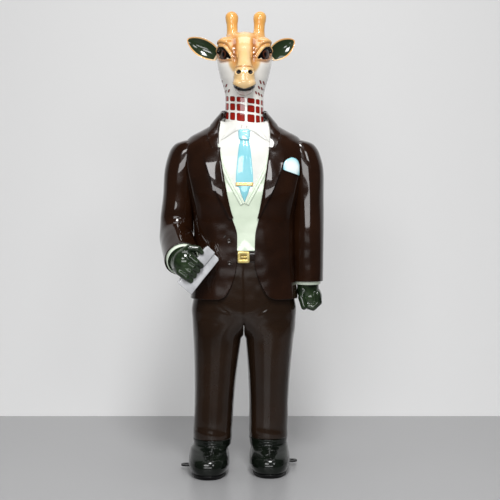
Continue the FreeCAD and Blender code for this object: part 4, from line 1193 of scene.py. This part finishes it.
def mottled(tree, mask, scale, low, high):
    """Breaks a mask up with a soft noise, as an airbrush does."""
    place = tree.nodes.new("ShaderNodeTexCoord")
    grain = value(tree, "ShaderNodeTexNoise", in_Scale=scale, in_Detail=4.0, in_Roughness=0.6)
    tree.links.new(place.outputs["Object"], grain.inputs["Vector"])
    ramp = value(tree, "ShaderNodeMapRange")
    ramp.inputs["To Min"].default_value, ramp.inputs["To Max"].default_value = low, high
    tree.links.new(grain.outputs["Fac"], ramp.inputs["Value"])
    times = value(tree, "ShaderNodeMath", operation="MULTIPLY", use_clamp=True)
    tree.links.new(mask, times.inputs[0])
    tree.links.new(ramp.outputs["Result"], times.inputs[1])
    return times.outputs["Value"]


hide_paint = lacquered("hide_white", srgb(236, 233, 226), srgb(248, 245, 239), roughness=(0.14, 0.24),
                       sag=0.12)
tree = hide_paint.node_tree
white = next(n for n in tree.nodes if n.bl_idname == "ShaderNodeMix").outputs["Result"]
coat = cover(tree, white, srgb(216, 180, 124),
             mottled(tree, painted(tree, "tan", 0.0, 1.0), 26.0, 0.75, 1.2))
coat = cover(tree, coat, srgb(206, 144, 72),
             mottled(tree, painted(tree, "orange", 0.2, 1.0), 9.0, 0.2, 1.0))
# The shade mask sprays orange-brown with a darker brown core: painted shade in the grooves and creases,
# partly the casting's own airbrushing.
coat = cover(tree, coat, srgb(190, 128, 66),
             mottled(tree, painted(tree, "shade", 0.0, 0.7), 34.0, 0.7, 1.0))
coat = cover(tree, coat, srgb(120, 58, 24),
             mottled(tree, painted(tree, "shade", 0.55, 1.05), 34.0, 0.5, 1.0))
red = cover(tree, coat, srgb(112, 22, 14), painted(tree, "patch", 0.7, -0.7))
red = cover(tree, red, srgb(176, 34, 20),
            mottled(tree, painted(tree, "patch", -0.5, -4.5), 30.0, 0.0, 1.0))
final = cover(tree, red, srgb(14, 10, 9), painted(tree, "black", 0.8, -0.6))
tree.links.new(final, tree.nodes["Principled BSDF"].inputs["Base Color"])
settle(skin, "head_form", hide_paint, ("head_shell",))

# ---------------------------------------------------------------- eyes
# Each eye is a black glazed oval set behind the lids, with a brown iris and a cream corner next to the nose.
eye_paint = lacquered("eye_black", srgb(8, 6, 6), srgb(14, 11, 10), roughness=(0.05, 0.1), sag=0.0,
                      peel=0.0)
tree = eye_paint.node_tree
black = next(n for n in tree.nodes if n.bl_idname == "ShaderNodeMix").outputs["Result"]
iris = cover(tree, black, srgb(74, 38, 22),
             mottled(tree, painted(tree, "iris", 17.5, 14.0), 180.0, 0.3, 1.2))
pupil = cover(tree, iris, srgb(4, 4, 5), painted(tree, "iris", 9.6, 8.4))
glazed_eye = cover(tree, pupil, srgb(232, 220, 200), painted(tree, "corner", 0.35, 0.6))
tree.links.new(glazed_eye, tree.nodes["Principled BSDF"].inputs["Base Color"])
tree.nodes["Principled BSDF"].inputs["Coat IOR"].default_value = 1.36
for side, name in ((-1, "right"), (1, "left")):
    turn = math.radians(EYE_TURN)
    ahead = Vector((side * math.sin(turn), -math.cos(turn), 0))
    centre = Vector((0, -13, EYE_Z)) + ahead * 79
    along_axis = Vector((side * math.cos(turn), math.sin(turn),
                         0)) * math.cos(EYE_LEAN) + Vector((0, 0, math.sin(EYE_LEAN)))
    up_axis = ahead.cross(along_axis) * (-side)
    if up_axis.z < 0:
        up_axis.negate()
    eyeball = bmesh.new()
    bmesh.ops.create_uvsphere(eyeball, u_segments=72, v_segments=48, radius=1.0)
    iris_layer = eyeball.verts.layers.float.new("iris")
    corner_layer = eyeball.verts.layers.float.new("corner")
    for v in eyeball.verts:
        a, b, c = v.co.x, v.co.y, v.co.z
        v[iris_layer] = math.hypot(a * 50 + 2, b * 36 - 1) if c > 0 else 30
        v[corner_layer] = smooth(-24, -31, a * 50 + 0.35 * b * 36) * smooth(2, -4, b * 36 - 0.1 * a * 50)
        v.co = centre + along_axis * (a * 50) + up_axis * (b * 36) + ahead * (c * 28)
    bmesh.ops.recalc_face_normals(eyeball, faces=eyeball.faces)
    settle(eyeball, f"eye_{name}_ball", eye_paint, (f"eye_{name}",))

# ---------------------------------------------------------------- ears
# Leaf-shaped cups with thick rolled edges, glued into the sides of the skull. The inside is dark green
# lacquer and the back and edge are tan.
ear_paint = lacquered("ear_tan", srgb(206, 150, 88), srgb(226, 186, 128), roughness=(0.14, 0.24), sag=0.1)
tree = ear_paint.node_tree
tan = next(n for n in tree.nodes if n.bl_idname == "ShaderNodeMix").outputs["Result"]
pale = cover(tree, tan, srgb(216, 206, 188),
             mottled(tree, painted(tree, "rim", 0.5, 1.0), 30.0, 0.2, 0.9))
inside = cover(tree, pale, srgb(34, 46, 28), painted(tree, "inside", 0.8, -0.8))
tree.links.new(inside, tree.nodes["Principled BSDF"].inputs["Base Color"])
for side, name, root, tip in (
        (-1, "right", Vector((-102, -14, up_head(0.60))), Vector((-222, -12, up_head(0.875)))),
        (1, "left", Vector((102, -6, up_head(0.60))), Vector((196, 38, up_head(0.885))))):
    long_way = (tip - root).normalized()
    facing = Vector((0.25 * side, -1, 0.06))
    facing = (facing - long_way * facing.dot(long_way)).normalized()
    wide_way = facing.cross(long_way)
    if wide_way.z < 0:
        wide_way.negate()
    length = (tip - root).length

    def ear_place(u, v):
        turn, along = 2 * math.pi * u, v
        half = 36.0 * math.sin(math.pi * (0.16 + 0.84 * along) ** 1.12) ** 0.6 if along < 1 else 0.5
        half = max(1.5, half)
        across = math.cos(turn)
        front = math.sin(turn)
        cup = 17.0 * (half / 39.0) ** 1.3
        wall = 7.5 * min(1.0, half / 20.0)
        deep = -cup * (1 - across * across)
        lift = deep + wall * max(0.0, front) ** 0.6 * 0.5 if front >= 0 else deep - wall * (-front) ** 0.6
        bend = 10.0 * math.sin(math.pi * along)
        return root + long_way * (length * along) + wide_way * (half * across) + facing * (lift
                                                                                           - bend * 0.3)

    ear = tube(64, 60, ear_place)
    inside_layer = ear.verts.layers.float.new("inside")
    rim_layer = ear.verts.layers.float.new("rim")
    for v in ear.verts:
        rel = v.co - root
        along = rel.dot(long_way) / length
        half = math.sin(math.pi * min(0.999, 0.16 + 0.84 * max(0, along)) ** 1.12) ** 0.6
        half = max(1.5, 36.0 * half)
        across = rel.dot(wide_way)
        cup = 17.0 * (half / 39.0) ** 1.3
        deep = -cup * (1 - min(1, abs(across / half)) ** 2) - 3.0 * math.sin(math.pi
                                                                             * min(1, max(0, along)))
        facing_front = rel.dot(facing) > deep - 0.8
        v[inside_layer] = max(abs(across) - half + 5.5, (0.07 - along) * length,
                              (along - 0.965) * length) if facing_front else 9.0
        v[rim_layer] = 1 - smooth(0.0, 0.5, along)
    settle(ear, f"ear_{name}_cup", ear_paint, (f"ear_{name}",))

# ---------------------------------------------------------------- horns
# Two blunt horns with rounded knobs, plugged into the crown over a flared foot and sprayed orange-tan.
horn_paint = lacquered("horn_orange", srgb(206, 146, 72), srgb(222, 172, 98), roughness=(0.14, 0.22),
                       sag=0.1,
                       mottle_scale=24.0)
for name, foot_x, tip_x, foot_y, tip_y in (("right", -46, -50, 2, 10), ("left", 55, 61, 3, 10)):
    horn_low, horn_high = up_head(0.86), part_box(f"ossicone_{name}")[1].z * 1000
    profile = glide([(0.0, 31), (0.1, 26.5), (0.24, 22.5), (0.42, 21.2), (0.55, 22.0), (0.68, 24.6),
                     (0.78, 25.5),
                     (0.87, 23.3), (0.93, 18.6), (0.97, 13.0), (0.992, 7.0), (1.0, 0.8)], 72)
    foot_middle, tip_middle = Vector((foot_x, foot_y, horn_low)), Vector((tip_x, tip_y, horn_high))

    def horn_place(u, v, profile=profile, a=foot_middle, b=tip_middle):
        share, radius = profile[round(v * 72)]
        turn = 2 * math.pi * u
        return a.lerp(b, share) + Vector((radius * math.cos(turn), radius * math.sin(turn), 0))

    settle(tube(64, 72, horn_place), f"horn_{name}", horn_paint, (f"ossicone_{name}",))

# ---------------------------------------------------------------- inner frame, bulkhead and fixings
# A welded steel armature runs inside the moulding: posts, bars and rods in grey primer. A plywood bulkhead
# closes the neck. Black lugs stand out beside the shoes, and zinc screws hold the soles to the foot plates.
primed_steel = lacquered("primed_steel", srgb(104, 107, 110), srgb(124, 126, 128), roughness=(0.45, 0.7),
                         sag=0.05,
                         peel=0.25, coat=0.0)
black_steel = lacquered("black_steel", srgb(14, 14, 15), srgb(26, 26, 27), roughness=(0.3, 0.5), sag=0.05,
                        peel=0.3,
                        mottle_scale=30.0, coat=0.35)
zinc = lacquered("zinc_plate", srgb(140, 142, 146), srgb(176, 176, 170), roughness=(0.22, 0.42), sag=0.0,
                 peel=0.1,
                 mottle_scale=60.0, metallic=1.0, coat=0.0)
plywood = lacquered("plywood", srgb(150, 116, 78), srgb(190, 154, 110), roughness=(0.6, 0.8), sag=0.0,
                    peel=0.3,
                    mottle_scale=22.0, coat=0.0)
tree = plywood.node_tree
rings = value(tree, "ShaderNodeTexWave", wave_type="BANDS", bands_direction="Y", in_Scale=34.0,
              in_Distortion=6.0,
              in_Detail=3.0)
place = tree.nodes.new("ShaderNodeTexCoord")
tree.links.new(place.outputs["Object"], rings.inputs["Vector"])
bare = next(n for n in tree.nodes if n.bl_idname == "ShaderNodeMix").outputs["Result"]
grain = cover(tree, bare, srgb(122, 86, 52), mottled(tree, rings.outputs["Fac"], 40.0, 0.0, 0.5))
tree.links.new(grain, tree.nodes["Principled BSDF"].inputs["Base Color"])
kept = {
    primed_steel: ("leg_post_right", "leg_post_left", "hip_bar", "spine_tube", "shoulder_bar",
                   "arm_rod_right",
                   "arm_rod_left", "foot_plate_right", "foot_plate_left"),
    black_steel: ("floor_lug_right", "floor_lug_left"), zinc: ("sole_screws",),
    plywood: ("neck_bulkhead",)}
for paint, names in kept.items():
    for name in names:
        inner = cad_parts[name].data
        inner.materials.clear()
        inner.materials.append(paint)

# ---------------------------------------------------------------- camera
# It stands about 4.4 m in front at chest height and looks slightly down, so the floor line sits low.
CAMERA_SIDE, CAMERA_BACK, CAMERA_HIGH, AIM_HIGH = 0.0216, 4.4, 1.10, 0.8702
LENS, SENSOR = 80.75, 36.0
target = middle + Vector((CAMERA_SIDE, 0, AIM_HIGH))
eye_point = middle + Vector((CAMERA_SIDE, -CAMERA_BACK, CAMERA_HIGH))
camera_data = bpy.data.cameras.new("camera")
camera_data.lens, camera_data.sensor_width = LENS, SENSOR
camera = bpy.data.objects.new("camera", camera_data)
camera.location = eye_point
camera.rotation_euler = (target - eye_point).to_track_quat("-Z", "Y").to_euler()
bpy.context.scene.collection.objects.link(camera)
bpy.context.scene.camera = camera

# ---------------------------------------------------------------- studio
# A pale wall that glows by itself, as painted light, stands 1.05 m behind the figure on a satin grey floor.
# A long strip box in front gives the patches on the sleeves and lapels, and a high key lights the face.
WALL_BACK, STAGE_HALF, WALL_HIGH = 1.05, 6.0, 7.0


def stage_sheet(name, corners, near_colour, far_colour, axis, reach, roughness, glow=0.0):
    """A flat sheet whose paint drifts from one grey to another along an axis as painted light and shade, and
    glows as painted light by glow.
    """
    bm = bmesh.new()
    bm.faces.new([bm.verts.new(corner) for corner in corners])
    mesh = bpy.data.meshes.new(name)
    bm.to_mesh(mesh)
    bm.free()
    material = bpy.data.materials.new(name)
    material.use_nodes = True
    tree = material.node_tree
    shader = tree.nodes["Principled BSDF"]
    place, split = tree.nodes.new("ShaderNodeTexCoord"), tree.nodes.new("ShaderNodeSeparateXYZ")
    drift, tone = tree.nodes.new("ShaderNodeMapRange"), tree.nodes.new("ShaderNodeMix")
    drift.inputs["From Min"].default_value, drift.inputs["From Max"].default_value = reach
    tone.data_type = "RGBA"
    tone.inputs["A"].default_value, tone.inputs["B"].default_value = (*near_colour, 1.0), (*far_colour,
                                                                                           1.0)
    tree.links.new(place.outputs["Object"], split.inputs["Vector"])
    tree.links.new(split.outputs[axis], drift.inputs["Value"])
    tree.links.new(drift.outputs["Result"], tone.inputs["Factor"])
    tree.links.new(tone.outputs["Result"], shader.inputs["Base Color"])
    tree.links.new(tone.outputs["Result"], shader.inputs["Emission Color"])
    shader.inputs["Emission Strength"].default_value = glow
    shader.inputs["Roughness"].default_value = roughness
    behind, clear = tree.nodes.new("ShaderNodeNewGeometry"), tree.nodes.new("ShaderNodeBsdfTransparent")
    one_sided = tree.nodes.new("ShaderNodeMixShader")
    tree.links.new(behind.outputs["Backfacing"], one_sided.inputs["Fac"])
    tree.links.new(shader.outputs["BSDF"], one_sided.inputs[1])
    tree.links.new(clear.outputs["BSDF"], one_sided.inputs[2])
    tree.links.new(one_sided.outputs["Shader"], tree.nodes["Material Output"].inputs["Surface"])
    mesh.materials.append(material)
    piece = bpy.data.objects.new(name, mesh)
    bpy.context.scene.collection.objects.link(piece)
    return piece


wall_y = middle.y + WALL_BACK
# The floor's grey darkens from behind the figure to in front of it: painted shade where the studio light
# falls off.
stage_sheet("floor", [(-STAGE_HALF, -STAGE_HALF, 0), (STAGE_HALF, -STAGE_HALF, 0),
                      (STAGE_HALF, wall_y, 0),
                      (-STAGE_HALF, wall_y, 0)], (0.09, 0.09, 0.09), (0.36, 0.36, 0.365), "Y", (-1.3,
                                                                                                -0.8), 0.32)
# The wall glows by itself and is painted lighter at its foot than higher up: painted light and shade.
stage_sheet("wall", [(-STAGE_HALF, wall_y, 0), (STAGE_HALF, wall_y, 0), (STAGE_HALF, wall_y, WALL_HIGH),
                     (-STAGE_HALF, wall_y,
                      WALL_HIGH)], (0.66, 0.66, 0.66), (0.5, 0.5, 0.5), "Z", (0.0, 2.2), 0.9, glow=0.25)


def soft_box(name, place, aim, width, height, power):
    light = bpy.data.lights.new(name, "AREA")
    light.shape, light.size, light.size_y, light.energy = "RECTANGLE", width, height, power
    lamp = bpy.data.objects.new(name, light)
    lamp.location = middle + Vector(place)
    lamp.rotation_euler = (middle + Vector(aim) - lamp.location).to_track_quat("-Z", "Y").to_euler()
    bpy.context.scene.collection.objects.link(lamp)


soft_box("front_strip", (-0.4, -4.7, 1.36), (0, 0, 1.25), 3.2, 0.75, 54)
soft_box("head_fill", (-0.9, -3.6, 2.5), (0, 0, 1.6), 1.5, 0.7, 40)
soft_box("head_fill_right", (1.6, -3.4, 2.5), (0, 0, 1.6), 0.7, 0.7, 16)
soft_box("key", (0.3, -2.9, 4.0), (0, 0, 1.1), 0.8, 1.3, 128)
soft_box("floor_fill", (0.0, -0.4, 4.6), (0, 0.2, 0.0), 2.6, 1.2, 42)
world = bpy.data.worlds.new("studio")
bpy.context.scene.world = world
world.use_nodes = True
world.node_tree.nodes["Background"].inputs["Color"].default_value = (0.9, 0.92, 0.95, 1.0)
world.node_tree.nodes["Background"].inputs["Strength"].default_value = 0.06
bpy.context.scene.view_settings.view_transform = "Standard"
